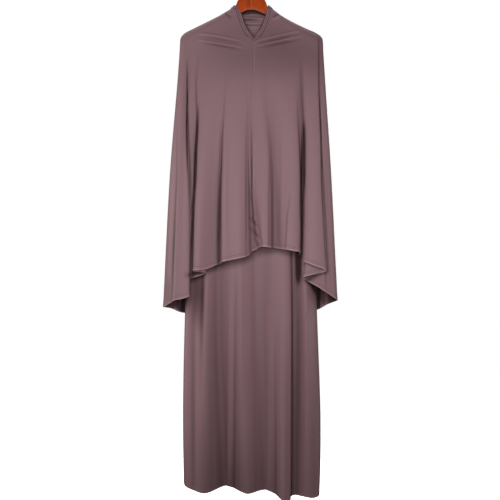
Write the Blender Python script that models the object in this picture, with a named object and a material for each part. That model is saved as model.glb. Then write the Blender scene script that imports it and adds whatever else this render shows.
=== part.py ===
"""Abaya with hijab: a long jersey dress under a cape-shaped head cover, on a wooden hanger.

Metres, +Z up. The front faces -Y, so the wearer's left is +X. The origin is where the inside of
the hook's top bears on a rail. Each piece of cloth is a wall through a grid of points on its middle
surface: rows run down from the neck and columns run round the body. The upper rows are worked out
from the hanger's outline, and the lower ones from tables with one row for each fold.
"""

import math
from collections import namedtuple

import bmesh
import bpy
import numpy as np
from mathutils import Vector

# Cloth
CLOTH = 0.0018
SEAM_GAP = 0.0003
BAND_CLOTH = 0.0024

# The hanger, and how far outside its wood the middle surface of each garment lies
NECK_HALF_THICK = 0.009
ARM_HALF_THICK = 0.018
ARM_SWELL_FROM = 0.05
ARM_SWELL_TO = 0.19
DRESS_SKIN = 0.0019
CAPE_SKIN = 0.0050
DRESS_HANG_DEPTH = 0.0208
CAPE_HANG_DEPTH = 0.0250
HANG_DROP = 0.12

# Heights
CHEST_Z = -0.337
WAIST_Z = -0.600
KNEE_Z = -1.000
V_BOTTOM_Z = -0.2130
V_TOP_Z = -0.100
DRESS_NECK_Z = -0.222
UNDERARM_Z = -0.435
CROWN_Z = -0.2000
V_CENTRE_X = 0.0065
V_LEAN_TOP = 0.03
V_LEAN_FOOT = 0.10
NAPE_FADE = 0.08

# The cape's outline, at the middle of its wall: height, and the half widths on each side
Outline = namedtuple("Outline", "z right left")
CAPE_OUTLINE = [
    Outline(-0.0995, 0.0010, 0.0010),
    Outline(-0.1008, 0.0465, 0.0480),
    Outline(-0.1060, 0.0550, 0.0565),
    Outline(-0.1120, 0.0632, 0.0640),
    Outline(-0.1200, 0.0760, 0.0735),
    Outline(-0.1325, 0.0972, 0.0905),
    Outline(-0.1500, 0.1310, 0.1210),
    Outline(-0.1700, 0.1714, 0.1617),
    Outline(-0.1870, 0.2028, 0.1987),
    Outline(-0.2000, 0.2125, 0.2118),
    Outline(-0.2130, 0.2140, 0.2140),
    Outline(-0.2350, 0.2150, 0.2148),
    Outline(-0.2800, 0.2185, 0.2180),
    Outline(-0.3370, 0.2225, 0.2215),
    Outline(-0.6000, 0.2440, 0.2385),
]
CAPE_YOKE_Z = [-0.1120, -0.1200, -0.1325, -0.1500, -0.1700, -0.1870, -0.2000, V_BOTTOM_Z, -0.2400]
YOKE_ROWS = 7
DRESS_ABOVE_Z = [-0.1165, -0.1230, -0.1330, -0.1500, -0.1700, -0.1870, -0.1950]
DRESS_ARMHOLE_Z = [CROWN_Z, -0.2090, DRESS_NECK_Z, -0.2700, -0.3250, -0.3850, -0.4120, -0.4270, UNDERARM_Z]
DRESS_YOKE_Z = DRESS_ABOVE_Z + DRESS_ARMHOLE_Z

# The face opening: half widths of the band's seam and of its free edge
Opening = namedtuple("Opening", "z half")
V_SEAM = [
    Opening(-0.1120, 0.0525),
    Opening(-0.1300, 0.0500),
    Opening(-0.1500, 0.0435),
    Opening(-0.1700, 0.0367),
    Opening(-0.1870, 0.0280),
    Opening(-0.2000, 0.0185),
    Opening(V_BOTTOM_Z, 0.0),
]
BandStation = namedtuple("BandStation", "seam_z edge_half edge_z")
V_BAND = [
    BandStation(-0.2124, 0.0, -0.2050),
    BandStation(-0.2040, 0.0068, -0.1970),
    BandStation(-0.1870, 0.0158, -0.1810),
    BandStation(-0.1700, 0.0235, -0.1650),
    BandStation(-0.1520, 0.0300, -0.1485),
    BandStation(-0.1350, 0.0358, -0.1325),
    BandStation(-0.1180, 0.0412, -0.1165),
]
DRESS_NECK = [
    Opening(-0.1165, 0.0560),
    Opening(-0.1300, 0.0565),
    Opening(-0.1500, 0.0550),
    Opening(-0.1700, 0.0505),
    Opening(-0.1905, 0.0390),
    Opening(DRESS_NECK_Z, 0.0150),
]

# Folds. out is measured from the middle towards the named side, and y is negative at the front.
Fold = namedtuple("Fold", "chest_out chest_y waist_out waist_y hem_out hem_y hem_z")
CAPE_FRONT_LEFT = [
    Fold(0.0000, -0.0315, 0.0005, -0.049, 0.0290, -0.082, -0.8245),
    Fold(0.0100, -0.0320, 0.0140, -0.054, 0.0370, -0.089, -0.8245),
    Fold(0.0300, -0.0325, 0.0500, -0.056, 0.0520, -0.087, -0.8260),
    Fold(0.0460, -0.0315, 0.0640, -0.047, 0.0660, -0.073, -0.8280),
    Fold(0.0620, -0.0320, 0.0800, -0.050, 0.0860, -0.081, -0.8310),
    Fold(0.0800, -0.0330, 0.1030, -0.057, 0.1010, -0.091, -0.8330),
    Fold(0.1050, -0.0340, 0.1240, -0.060, 0.1240, -0.094, -0.8370),
    Fold(0.1280, -0.0335, 0.1410, -0.056, 0.1415, -0.086, -0.8400),
    Fold(0.1380, -0.0320, 0.1445, -0.042, 0.1415, -0.060, -0.8480),
    Fold(0.1450, -0.0315, 0.1515, -0.041, 0.1500, -0.059, -0.8560),
    Fold(0.1520, -0.0320, 0.1555, -0.053, 0.1505, -0.086, -0.8660),
    Fold(0.1700, -0.0340, 0.1780, -0.061, 0.1800, -0.096, -0.8790),
    Fold(0.1980, -0.0325, 0.2065, -0.058, 0.2175, -0.091, -0.8930),
    Fold(0.2020, -0.0300, 0.2055, -0.048, 0.2160, -0.081, -0.8970),
    Fold(0.2050, -0.0280, 0.1960, -0.044, 0.1520, -0.078, -0.9130),
    Fold(0.2070, -0.0265, 0.1955, -0.037, 0.1510, -0.068, -0.9170),
    Fold(0.2100, -0.0240, 0.2120, -0.038, 0.2000, -0.066, -0.9460),
    Fold(0.2140, -0.0195, 0.2260, -0.033, 0.2360, -0.061, -0.9700),
    Fold(0.2190, -0.0105, 0.2355, -0.018, 0.2520, -0.036, -0.9810),
    Fold(0.2215, 0.0000, 0.2385, 0.000, 0.2580, 0.000, -0.9850),
]
CAPE_FRONT_RIGHT = [
    Fold(0.0000, -0.0315, -0.0005, -0.049, -0.0290, -0.082, -0.8245),
    Fold(0.0025, -0.0312, 0.0025, -0.046, -0.0170, -0.073, -0.8300),
    Fold(0.0060, -0.0310, 0.0070, -0.044, -0.0030, -0.067, -0.8380),
    Fold(0.0120, -0.0315, 0.0130, -0.050, 0.0105, -0.080, -0.8510),
    Fold(0.0300, -0.0330, 0.0340, -0.057, 0.0360, -0.094, -0.8580),
    Fold(0.0520, -0.0340, 0.0650, -0.058, 0.0650, -0.091, -0.8640),
    Fold(0.0720, -0.0335, 0.0860, -0.057, 0.0860, -0.090, -0.8690),
    Fold(0.0800, -0.0320, 0.0915, -0.049, 0.0885, -0.075, -0.8720),
    Fold(0.0940, -0.0320, 0.1080, -0.050, 0.1100, -0.073, -0.8810),
    Fold(0.1120, -0.0330, 0.1270, -0.055, 0.1310, -0.081, -0.8890),
    Fold(0.1340, -0.0335, 0.1480, -0.060, 0.1550, -0.093, -0.8930),
    Fold(0.1540, -0.0330, 0.1650, -0.058, 0.1725, -0.091, -0.8940),
    Fold(0.1600, -0.0325, 0.1640, -0.050, 0.1710, -0.082, -0.8960),
    Fold(0.1635, -0.0300, 0.1520, -0.047, 0.1345, -0.078, -0.9010),
    Fold(0.1670, -0.0275, 0.1515, -0.040, 0.1335, -0.068, -0.9030),
    Fold(0.1740, -0.0265, 0.1730, -0.037, 0.1810, -0.062, -0.9190),
    Fold(0.1800, -0.0265, 0.1975, -0.038, 0.2310, -0.058, -0.9380),
    Fold(0.1845, -0.0285, 0.1985, -0.045, 0.2320, -0.067, -0.9410),
    Fold(0.1885, -0.0315, 0.1845, -0.051, 0.1800, -0.075, -0.9630),
    Fold(0.1925, -0.0325, 0.1830, -0.058, 0.1785, -0.085, -0.9670),
    Fold(0.2000, -0.0295, 0.1970, -0.063, 0.2000, -0.092, -0.9750),
    Fold(0.2080, -0.0255, 0.2150, -0.057, 0.2230, -0.090, -0.9800),
    Fold(0.2140, -0.0200, 0.2265, -0.042, 0.2390, -0.071, -0.9900),
    Fold(0.2195, -0.0105, 0.2400, -0.021, 0.2560, -0.039, -1.0010),
    Fold(0.2225, 0.0000, 0.2440, 0.000, 0.2650, 0.000, -1.0050),
]
# The back, from the left side across to the right side: out is positive on the left.
CAPE_BACK = [
    Fold(0.2215, 0.0000, 0.2385, 0.000, 0.2580, 0.000, -0.9850),
    Fold(0.2190, 0.0105, 0.2355, 0.020, 0.2510, 0.042, -0.9920),
    Fold(0.2080, 0.0250, 0.2210, 0.050, 0.2320, 0.084, -1.0040),
    Fold(0.1920, 0.0280, 0.2030, 0.041, 0.2050, 0.058, -1.0160),
    Fold(0.1680, 0.0330, 0.1800, 0.056, 0.1760, 0.094, -1.0280),
    Fold(0.1460, 0.0300, 0.1520, 0.043, 0.1460, 0.059, -1.0370),
    Fold(0.1180, 0.0340, 0.1240, 0.056, 0.1180, 0.088, -1.0450),
    Fold(0.0900, 0.0320, 0.0920, 0.044, 0.0860, 0.064, -1.0510),
    Fold(0.0580, 0.0350, 0.0620, 0.058, 0.0520, 0.096, -1.0570),
    Fold(0.0260, 0.0330, 0.0300, 0.046, 0.0180, 0.066, -1.0600),
    Fold(-0.0060, 0.0350, -0.0040, 0.055, -0.0140, 0.086, -1.0610),
    Fold(-0.0380, 0.0330, -0.0360, 0.044, -0.0460, 0.062, -1.0600),
    Fold(-0.0700, 0.0350, -0.0700, 0.058, -0.0820, 0.098, -1.0560),
    Fold(-0.1000, 0.0320, -0.1020, 0.045, -0.1120, 0.064, -1.0510),
    Fold(-0.1300, 0.0340, -0.1360, 0.054, -0.1460, 0.084, -1.0450),
    Fold(-0.1560, 0.0310, -0.1640, 0.042, -0.1700, 0.060, -1.0390),
    Fold(-0.1800, 0.0320, -0.1900, 0.056, -0.1960, 0.094, -1.0320),
    Fold(-0.1980, 0.0290, -0.2100, 0.041, -0.2200, 0.060, -1.0240),
    Fold(-0.2110, 0.0235, -0.2290, 0.044, -0.2460, 0.078, -1.0150),
    Fold(-0.2195, 0.0105, -0.2410, 0.020, -0.2590, 0.038, -1.0090),
    Fold(-0.2225, 0.0000, -0.2440, 0.000, -0.2650, 0.000, -1.0050),
]
# The dress, from its right side across to its left at the front, and from its left to its right behind.
LongFold = namedtuple("LongFold", "knee_x knee_y hem_x hem_y hem_z")
DRESS_FRONT = [
    LongFold(-0.1985, 0.000, -0.2030, 0.000, -1.5330),
    LongFold(-0.1920, -0.014, -0.1960, -0.022, -1.5370),
    LongFold(-0.1720, -0.026, -0.1720, -0.046, -1.5420),
    LongFold(-0.1330, -0.046, -0.1360, -0.066, -1.5460),
    LongFold(-0.1000, -0.028, -0.0760, -0.030, -1.5330),
    LongFold(-0.0640, -0.040, -0.0500, -0.047, -1.5370),
    LongFold(-0.0310, -0.044, -0.0130, -0.071, -1.5460),
    LongFold(-0.0080, -0.037, 0.0030, -0.065, -1.5450),
    LongFold(0.0120, -0.028, 0.0210, -0.050, -1.5430),
    LongFold(0.0360, -0.030, 0.0440, -0.038, -1.5430),
    LongFold(0.0640, -0.042, 0.0700, -0.062, -1.5500),
    LongFold(0.0980, -0.050, 0.0950, -0.090, -1.5620),
    LongFold(0.1160, -0.044, 0.1110, -0.080, -1.5625),
    LongFold(0.1225, -0.028, 0.1170, -0.044, -1.5610),
    LongFold(0.1320, -0.027, 0.1270, -0.036, -1.5590),
    LongFold(0.1570, -0.044, 0.1540, -0.057, -1.5580),
    LongFold(0.1730, -0.037, 0.1760, -0.057, -1.5620),
    LongFold(0.1890, -0.016, 0.1970, -0.026, -1.5660),
    LongFold(0.1955, 0.000, 0.2035, 0.000, -1.5670),
]
DRESS_BACK = [
    LongFold(0.1955, 0.000, 0.2035, 0.000, -1.5670),
    LongFold(0.1890, 0.015, 0.1970, 0.022, -1.5660),
    LongFold(0.1660, 0.030, 0.1700, 0.052, -1.5620),
    LongFold(0.1360, 0.022, 0.1380, 0.032, -1.5570),
    LongFold(0.1000, 0.036, 0.1020, 0.062, -1.5550),
    LongFold(0.0660, 0.026, 0.0700, 0.036, -1.5500),
    LongFold(0.0300, 0.038, 0.0300, 0.066, -1.5490),
    LongFold(-0.0060, 0.026, -0.0040, 0.038, -1.5450),
    LongFold(-0.0440, 0.037, -0.0480, 0.064, -1.5460),
    LongFold(-0.0820, 0.025, -0.0840, 0.036, -1.5410),
    LongFold(-0.1180, 0.036, -0.1220, 0.058, -1.5410),
    LongFold(-0.1500, 0.024, -0.1540, 0.034, -1.5370),
    LongFold(-0.1760, 0.028, -0.1800, 0.044, -1.5360),
    LongFold(-0.1930, 0.014, -0.1970, 0.020, -1.5340),
    LongFold(-0.1985, 0.000, -0.2030, 0.000, -1.5330),
]
FOLD_STEPS = 2
SIDE_FOLD_STEPS = 3
CAPE_UPPER_STEPS = 2
CAPE_LOWER_STEPS = 3
EVEN_ABOVE = 0.090
DRESS_UPPER_STEPS = 2
DRESS_LOWER_STEPS = 3
UNDERARM_X = 0.1700
SIDE_ROUND_FROM = 0.88
SIDE_BOW = {-1: 0.003, 1: 0.006}
SIDE_BOW_LOW = 1.6

# Sleeves: slanted ovals, the first cut out of the dress as its armhole
SleeveRing = namedtuple("SleeveRing", "x half_x half_y z half_z")
UNDERARM_CLEAR = 0.0026
UNDERARM_CLEAR_FROM = 0.05
UNDERARM_CLEAR_OVER = 0.45
SLEEVE_RINGS = [
    SleeveRing(0.1918, 0.0186, None, -0.3300, 0.1150),
    SleeveRing(0.1945, 0.0180, 0.0235, -0.3750, 0.0850),
    SleeveRing(0.1995, 0.0180, 0.0255, -0.5000, 0.0150),
    SleeveRing(0.2080, 0.0195, 0.0270, -0.6200, 0.0050),
    SleeveRing(0.2150, 0.0190, 0.0290, -0.7700, 0.0000),
]
SLEEVE_STEPS = [1, 1, 2, 1, 2]

# The hood, an empty pouch behind the neck
NAPE_DIP = 0.010
DRESS_NAPE_DIP = 0.004
HOOD_COLUMNS = 12
HOOD_CORNER_ANGLE = 35
HOOD_CORNER_SHARE = 0.20
HOOD_DEPTH = 0.205
HOOD_CORNER_DEPTH = 0.030
HOOD_APART = 0.016
HOOD_CORNER_APART = 0.008
HOOD_SPREAD = 0.60
HOOD_BACK_CLEAR = 0.0055
HOOD_LIFT = 0.009
HOOD_LIFT_FROM = 0.22
HOOD_LIFT_OVER = 0.12
HOOD_RISE = 0.006
HOOD_TURN = 0.0044
# The hood's rows, down its inner layer and up its outer one: share of its depth, and how far the layers part
HoodRow = namedtuple("HoodRow", "share away")
HOOD_LAYERS = [
    HoodRow(0.15, 0.0),
    HoodRow(0.55, 0.0),
    HoodRow(0.95, 0.0),
    HoodRow(1.00, 0.5),
    HoodRow(0.95, 1.0),
    HoodRow(0.50, 1.25),
]
HOOD_RIM_HALF = 0.0570
HOOD_RIM_START = 0.010
HOOD_RIM_REACH = 0.036
HOOD_RIM_Z = -0.1020
HOOD_RIM_SAG = 0.012
BAND_WIDTH = 0.013
BAND_STEP_IN = 0.0013
BAND_LEAN = 0.002
BAND_CURL = 0.93
# Where the band crosses the hanger: share of the cape's top edge, and the band's free edge
RidgePoint = namedtuple("RidgePoint", "share right left y z")
RIDGE_BEFORE = [
    RidgePoint(0.00, 0.0405, 0.0470, -0.0118, -0.1120),
    RidgePoint(0.35, 0.0440, 0.0485, -0.0114, -0.1065),
    RidgePoint(0.65, 0.0493, 0.0498, -0.0085, -0.1028),
    RidgePoint(1.00, 0.0500, 0.0508, 0.0000, -0.1008),
]
RIDGE_BEHIND = [
    RidgePoint(0.05, 0.0485, 0.0495, 0.0070, -0.1010),
    RidgePoint(0.10, 0.0455, 0.0462, 0.0150, -0.1010),
]
BINDING_WIDTH = 0.006
BINDING_CLIMB = 0.60
BINDING_CLIMB_FRONT = 0.94
BINDING_CLIMB_CORNER = 0.90

# The hanger's wood, from the joint at its middle: distance out, top, underside
Station = namedtuple("Station", "x top under")
HANGER_NECK = [
    Station(SEAM_GAP / 2, -0.0600, -0.1135),
    Station(0.0120, -0.0612, -0.1150),
    Station(0.0220, -0.0645, -0.1198),
    Station(0.0300, -0.0695, -0.1250),
    Station(0.0360, -0.0765, -0.1285),
    Station(0.0408, -0.0855, -0.1310),
    Station(0.0438, -0.0920, -0.1328),
    Station(0.0462, -0.0990, -0.1345),
    Station(0.0492, -0.1078, -0.1370),
]
ARM_DEPTH_AT_NECK = 0.028
ARM_DEPTH_AT_END = 0.030
ARM_END_CLEAR = 0.003
ROUND_TOP_STRETCH = 1.22
ROUND_TOP_SHARE = 0.72
EASED_CORNER = 0.2
ARM_FROM = 0.006
ARM_TO_Z = -0.201
ARM_TIP_SHARE = 0.03
WOOD_SECTION_POINTS = 12
HOOK_RADIUS = 0.021
HOOK_WIRE = 0.0018
HOOK_TIP_ANGLE = 205
HOOK_SHANK = 0.006
HOOK_SHANK_ANGLE = -52
HOOK_PARTS = 20
HOOK_SHANK_STEPS = [2, 4]

# Looks: base colour, roughness, metallic
JERSEY = ((0.196, 0.138, 0.150), 0.62, 0.0)
WOOD = ((0.330, 0.062, 0.018), 0.38, 0.0)
STEEL = ((0.62, 0.62, 0.63), 0.28, 1.0)


def clear_scene():
    """Remove whatever the file opened with."""
    for obj in list(bpy.data.objects):
        bpy.data.objects.remove(obj, do_unlink=True)


def make_material(name, look):
    """A plain Principled material."""
    colour, roughness, metallic = look
    material = bpy.data.materials.new(name)
    material.use_nodes = True
    shader = material.node_tree.nodes["Principled BSDF"]
    shader.inputs["Base Color"].default_value = (*colour, 1.0)
    shader.inputs["Roughness"].default_value = roughness
    shader.inputs["Metallic"].default_value = metallic
    material.diffuse_color = (*colour, 1.0)
    return material


def finish_mesh(name, mesh, material):
    """Turn a bmesh into a smooth-shaded object."""
    bmesh.ops.recalc_face_normals(mesh, faces=mesh.faces)
    data = bpy.data.meshes.new(name)
    mesh.to_mesh(data)
    mesh.free()
    data.materials.append(material)
    data.shade_smooth()
    data.set_sharp_from_angle(angle=math.radians(50))
    obj = bpy.data.objects.new(name, data)
    bpy.context.scene.collection.objects.link(obj)
    return obj


def cloth_wall(name, points, outward, material, thickness=CLOTH, left_out=(), closed=False):
    """A wall round a grid of middle points. left_out lists grid points that have no cloth."""
    rows, columns = points.shape[:2]
    mesh = bmesh.new()
    offset = mesh.verts.layers.float_vector.new("offset")
    corners = {}
    for row in range(rows):
        for column in range(columns):
            if (row, column) in left_out:
                continue
            step = outward[row, column] * thickness
            vertex = mesh.verts.new(points[row, column] - step / 2)
            vertex[offset] = step
            corners[row, column] = vertex
    last = columns if closed else columns - 1
    for row in range(rows - 1):
        for column in range(last):
            beside = (column + 1) % columns
            keys = [(row, column), (row + 1, column), (row + 1, beside), (row, beside)]
            if all(key in corners for key in keys):
                mesh.faces.new([corners[key] for key in keys])
    sheet = mesh.faces[:] + mesh.edges[:] + mesh.verts[:]
    grown = bmesh.ops.extrude_face_region(mesh, geom=sheet, use_keep_orig=True)
    for item in grown["geom"]:
        if isinstance(item, bmesh.types.BMVert):
            item.co += item[offset]
    return finish_mesh(name, mesh, material)


def unit(vectors):
    """Vectors of length one, along the last axis."""
    return vectors / np.maximum(np.linalg.norm(vectors, axis=-1, keepdims=True), 1e-9)


def between(a, b, a_at, b_at, at):
    """The point at `at` on the line that passes a at a_at and b at b_at."""
    return ((b_at - at) * a + (at - a_at) * b) / (b_at - a_at)


def smooth(points, steps):
    """A centripetal curve through points along their first axis, with steps[i] parts to gap i."""
    points = np.asarray(points, dtype=float)
    first = 2 * points[0] - points[1]
    last = 2 * points[-1] - points[-2]
    p = np.concatenate([first[None], points, last[None]])
    lengths = np.linalg.norm(np.diff(p, axis=0), axis=-1, keepdims=True)
    gaps = np.sqrt(np.maximum(lengths, 1e-6))
    knots = np.concatenate([np.zeros_like(gaps[:1]), np.cumsum(gaps, axis=0)])
    out = []
    for i in range(1, len(p) - 2):
        k0, k1, k2, k3 = knots[i - 1 : i + 3]
        for step in range(steps[i - 1]):
            at = k1 + (k2 - k1) * step / steps[i - 1]
            a = between(p[i - 1], p[i], k0, k1, at)
            b = between(p[i], p[i + 1], k1, k2, at)
            c = between(p[i + 1], p[i + 2], k2, k3, at)
            d = between(a, b, k0, k2, at)
            e = between(b, c, k1, k3, at)
            out.append(between(d, e, k1, k2, at))
    out.append(points[-1])
    return np.array(out)


def ease(value):
    """0 below 0, 1 above 1, smooth between."""
    t = np.clip(value, 0.0, 1.0)
    return t * t * (3 - 2 * t)


def hanger_half(x):
    """Half the wood's thickness, at a distance x from the middle."""
    swell = ease((np.abs(x) - ARM_SWELL_FROM) / (ARM_SWELL_TO - ARM_SWELL_FROM))
    return NECK_HALF_THICK + (ARM_HALF_THICK - NECK_HALF_THICK) * swell


def outline_points(side, inset):
    """The outline on one side as (x, z), moved in towards the garment's middle by inset."""
    points = np.array([[row.right if side < 0 else row.left, row.z] for row in CAPE_OUTLINE])
    along = unit(np.gradient(points, axis=0))
    inward = np.stack([along[:, 1], -along[:, 0]], axis=1)
    moved = points + inward * inset
    moved[:, 0] *= side
    return moved


def half_width(side, z, inset):
    """Distance from the middle to the outline at height z."""
    points = outline_points(side, inset)[1:]
    return float(np.interp(-z, -points[:, 1], np.abs(points[:, 0])))


def distance_inside(x, z, inset):
    """Distance from each point (x, z) to the outline, seen from the front."""
    nearest = np.full(np.shape(x), np.inf)
    for side in (-1, 1):
        points = outline_points(side, inset)
        for start, end in zip(points[:-1], points[1:]):
            run = end - start
            t = ((x - start[0]) * run[0] + (z - start[1]) * run[1]) / (run @ run)
            t = np.clip(t, 0.0, 1.0)
            gap = np.hypot(x - start[0] - t * run[0], z - start[1] - t * run[1])
            nearest = np.minimum(nearest, gap)
    return nearest


def hang_depth(x, z, skin, hang, inset):
    """Distance forward or back of cloth that falls over the hanger: a round top, then a plumb wall."""
    x = np.asarray(x, dtype=float)
    below = distance_inside(x, z, inset)
    settle = ease(below / HANG_DROP)
    depth = (hanger_half(x) + skin) * (1 - settle) + hang * settle
    turn = 1 - np.clip(below / depth, 0.0, 1.0)
    return depth * np.sqrt(np.maximum(1 - turn * turn, 0.0))


def hang_normal(x, z, face, skin, hang, inset):
    """Outward normals of the same cloth: square to its outline at the top, facing front or back below."""
    nearest = np.full(np.shape(x), np.inf)
    away_x = np.zeros(np.shape(x))
    away_z = np.ones(np.shape(x))
    for side in (-1, 1):
        points = outline_points(side, inset)
        along = unit(np.gradient(points, axis=0))
        out = np.stack([-along[:, 1], along[:, 0]], axis=1) * side
        for i in range(len(points) - 1):
            start = points[i]
            run = points[i + 1] - start
            t = ((x - start[0]) * run[0] + (z - start[1]) * run[1]) / (run @ run)
            t = np.clip(t, 0.0, 1.0)
            gap = np.hypot(x - start[0] - t * run[0], z - start[1] - t * run[1])
            closer = gap < nearest
            nearest = np.where(closer, gap, nearest)
            away_x = np.where(closer, out[i, 0] * (1 - t) + out[i + 1, 0] * t, away_x)
            away_z = np.where(closer, out[i, 1] * (1 - t) + out[i + 1, 1] * t, away_z)
    settle = ease(nearest / HANG_DROP)
    depth = (hanger_half(x) + skin) * (1 - settle) + hang * settle
    turn = 1 - np.clip(nearest / depth, 0.0, 1.0)
    return unit(np.stack([away_x * turn, face * np.sqrt(1 - turn**2), away_z * turn], axis=-1))


def cape_depth(x, z):
    return hang_depth(x, z, CAPE_SKIN, CAPE_HANG_DEPTH, 0.0)


def cape_normal(x, z, face):
    return hang_normal(x, z, face, CAPE_SKIN, CAPE_HANG_DEPTH, 0.0)


def dress_depth(x, z):
    return hang_depth(x, z, DRESS_SKIN, DRESS_HANG_DEPTH, CAPE_SKIN - DRESS_SKIN)


def dress_normal(x, z, face):
    return hang_normal(x, z, face, DRESS_SKIN, DRESS_HANG_DEPTH, CAPE_SKIN - DRESS_SKIN)


def table_curve(rows, fields, z, side=1):
    """A smooth plan curve through one level of a table of folds."""
    out_name, y_name = fields
    points = [
        (side * getattr(row, out_name), getattr(row, y_name), row.hem_z if z is None else z) for row in rows
    ]
    steps = [FOLD_STEPS] * (len(rows) - 1)
    if rows in (DRESS_FRONT, DRESS_BACK):
        steps[:2] = [SIDE_FOLD_STEPS] * 2
        steps[-2:] = [SIDE_FOLD_STEPS] * 2
    return smooth(points, steps)


def at_height(x, y, z):
    """Points with one height for all."""
    return np.stack([x, y, np.full_like(x, z)], axis=1)


def v_half(z):
    """Half width of the face opening at its seam."""
    heights = [-row.z for row in V_SEAM]
    return float(np.interp(-z, heights, [row.half for row in V_SEAM]))


def v_lean(z):
    """How far the opening's middle, and the seam under it, lie to the left."""
    return V_CENTRE_X * float(ease((V_TOP_Z - z) / V_LEAN_TOP) * ease((z - CHEST_Z) / V_LEAN_FOOT))


def cape_front_grid(table, side):
    """Middle points of one half of the cape's front, from its middle seam to its side seam."""
    chest = table_curve(table, ("chest_out", "chest_y"), CHEST_Z, side)
    waist = table_curve(table, ("waist_out", "waist_y"), WAIST_Z, side)
    hem = table_curve(table, ("hem_out", "hem_y"), None, side)
    share = chest[:, 0] / chest[-1, 0]
    even = np.linspace(0.0, 1.0, len(share))
    levels = []
    for z in CAPE_YOKE_Z:
        inner = v_lean(z) + side * v_half(z)
        outer = side * half_width(side, z, 0.0)
        evened = ease((z - V_BOTTOM_Z) / EVEN_ABOVE)
        x = inner + (outer - inner) * (share * (1 - evened) + even * evened)
        levels.append(at_height(x, -cape_depth(x, z), z))
    levels += [chest, waist, hem]
    steps = [1] * len(CAPE_YOKE_Z) + [CAPE_UPPER_STEPS, CAPE_LOWER_STEPS]
    return smooth(levels, steps)


def cape_back_grid():
    """Middle points of the cape's back, from its left side seam to its right."""
    chest = table_curve(CAPE_BACK, ("chest_out", "chest_y"), CHEST_Z)
    waist = table_curve(CAPE_BACK, ("waist_out", "waist_y"), WAIST_Z)
    hem = table_curve(CAPE_BACK, ("hem_out", "hem_y"), None)
    left = chest[:, 0] >= 0
    share = np.where(left, chest[:, 0] / chest[0, 0], -chest[:, 0] / chest[-1, 0])
    levels = []
    for z in CAPE_YOKE_Z:
        widths = np.where(left, half_width(1, z, 0.0), half_width(-1, z, 0.0))
        x = share * widths
        dip = NAPE_DIP * (1 - share**4) * (1 - ease((CAPE_YOKE_Z[0] - z) / NAPE_FADE))
        levels.append(np.stack([x, cape_depth(x, z - dip), z - dip], axis=1))
    levels += [chest, waist, hem]
    steps = [1] * len(CAPE_YOKE_Z) + [CAPE_UPPER_STEPS, CAPE_LOWER_STEPS]
    return smooth(levels, steps)


def outward_of(points, before, after):
    """Unit normals of a grid. before and after are the columns past its first and last."""
    wide = np.concatenate([before[:, None], points, after[:, None]], axis=1)
    across = wide[:, 2:] - wide[:, :-2]
    down = np.gradient(points, axis=0)
    return unit(np.cross(down, across))


def part_at_seams(points, first=True, last=True):
    """Draw the outer columns in, so that neighbouring pieces stand apart."""
    moved = points.copy()
    if first:
        moved[:, 0] += unit(points[:, 1] - points[:, 0]) * SEAM_GAP / 2
    if last:
        moved[:, -1] += unit(points[:, -2] - points[:, -1]) * SEAM_GAP / 2
    return moved


def make_cape(material):
    """The two fronts and the back. Returns their top edges, for the hood and the band."""
    left = cape_front_grid(CAPE_FRONT_LEFT, 1)
    right = cape_front_grid(CAPE_FRONT_RIGHT, -1)[:, ::-1]
    back = cape_back_grid()
    back[:, 0] = left[:, -1]
    back[:, -1] = right[:, 0]
    left_out = outward_of(left, right[:, -2], back[:, 1])
    back_out = outward_of(back, left[:, -2], right[:, 1])
    right_out = outward_of(right, back[:, -2], left[:, 1])
    for points, normals, face in ((left, left_out, -1), (back, back_out, 1), (right, right_out, -1)):
        normals[:YOKE_ROWS] = cape_normal(points[:YOKE_ROWS, :, 0], points[:YOKE_ROWS, :, 2], face)
    cloth_wall("hijab_front_left", part_at_seams(left), left_out, material)
    cloth_wall("hijab_front_right", part_at_seams(right), right_out, material)
    cloth_wall("hijab_back", part_at_seams(back), back_out, material)
    return left[0], back[0], right[0]


def along_edge(edge, shares):
    """Points at the given shares of an edge's length."""
    steps = np.linalg.norm(np.diff(edge, axis=0), axis=1)
    reach = np.concatenate([[0.0], np.cumsum(steps)])
    at = np.asarray(shares) * reach[-1]
    return np.stack([np.interp(at, reach, edge[:, axis]) for axis in range(3)], axis=1)


def rim_path(angle):
    """The rim of the hood, round the back of the neck."""
    across = HOOD_RIM_HALF * np.cos(angle)
    reach = HOOD_RIM_START + HOOD_RIM_REACH * np.sin(angle)
    return np.stack([across, reach, HOOD_RIM_Z - HOOD_RIM_SAG * np.sin(angle)], axis=1)


def hood_angles():
    return np.radians(np.linspace(HOOD_CORNER_ANGLE, 180 - HOOD_CORNER_ANGLE, HOOD_COLUMNS + 1))


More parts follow.
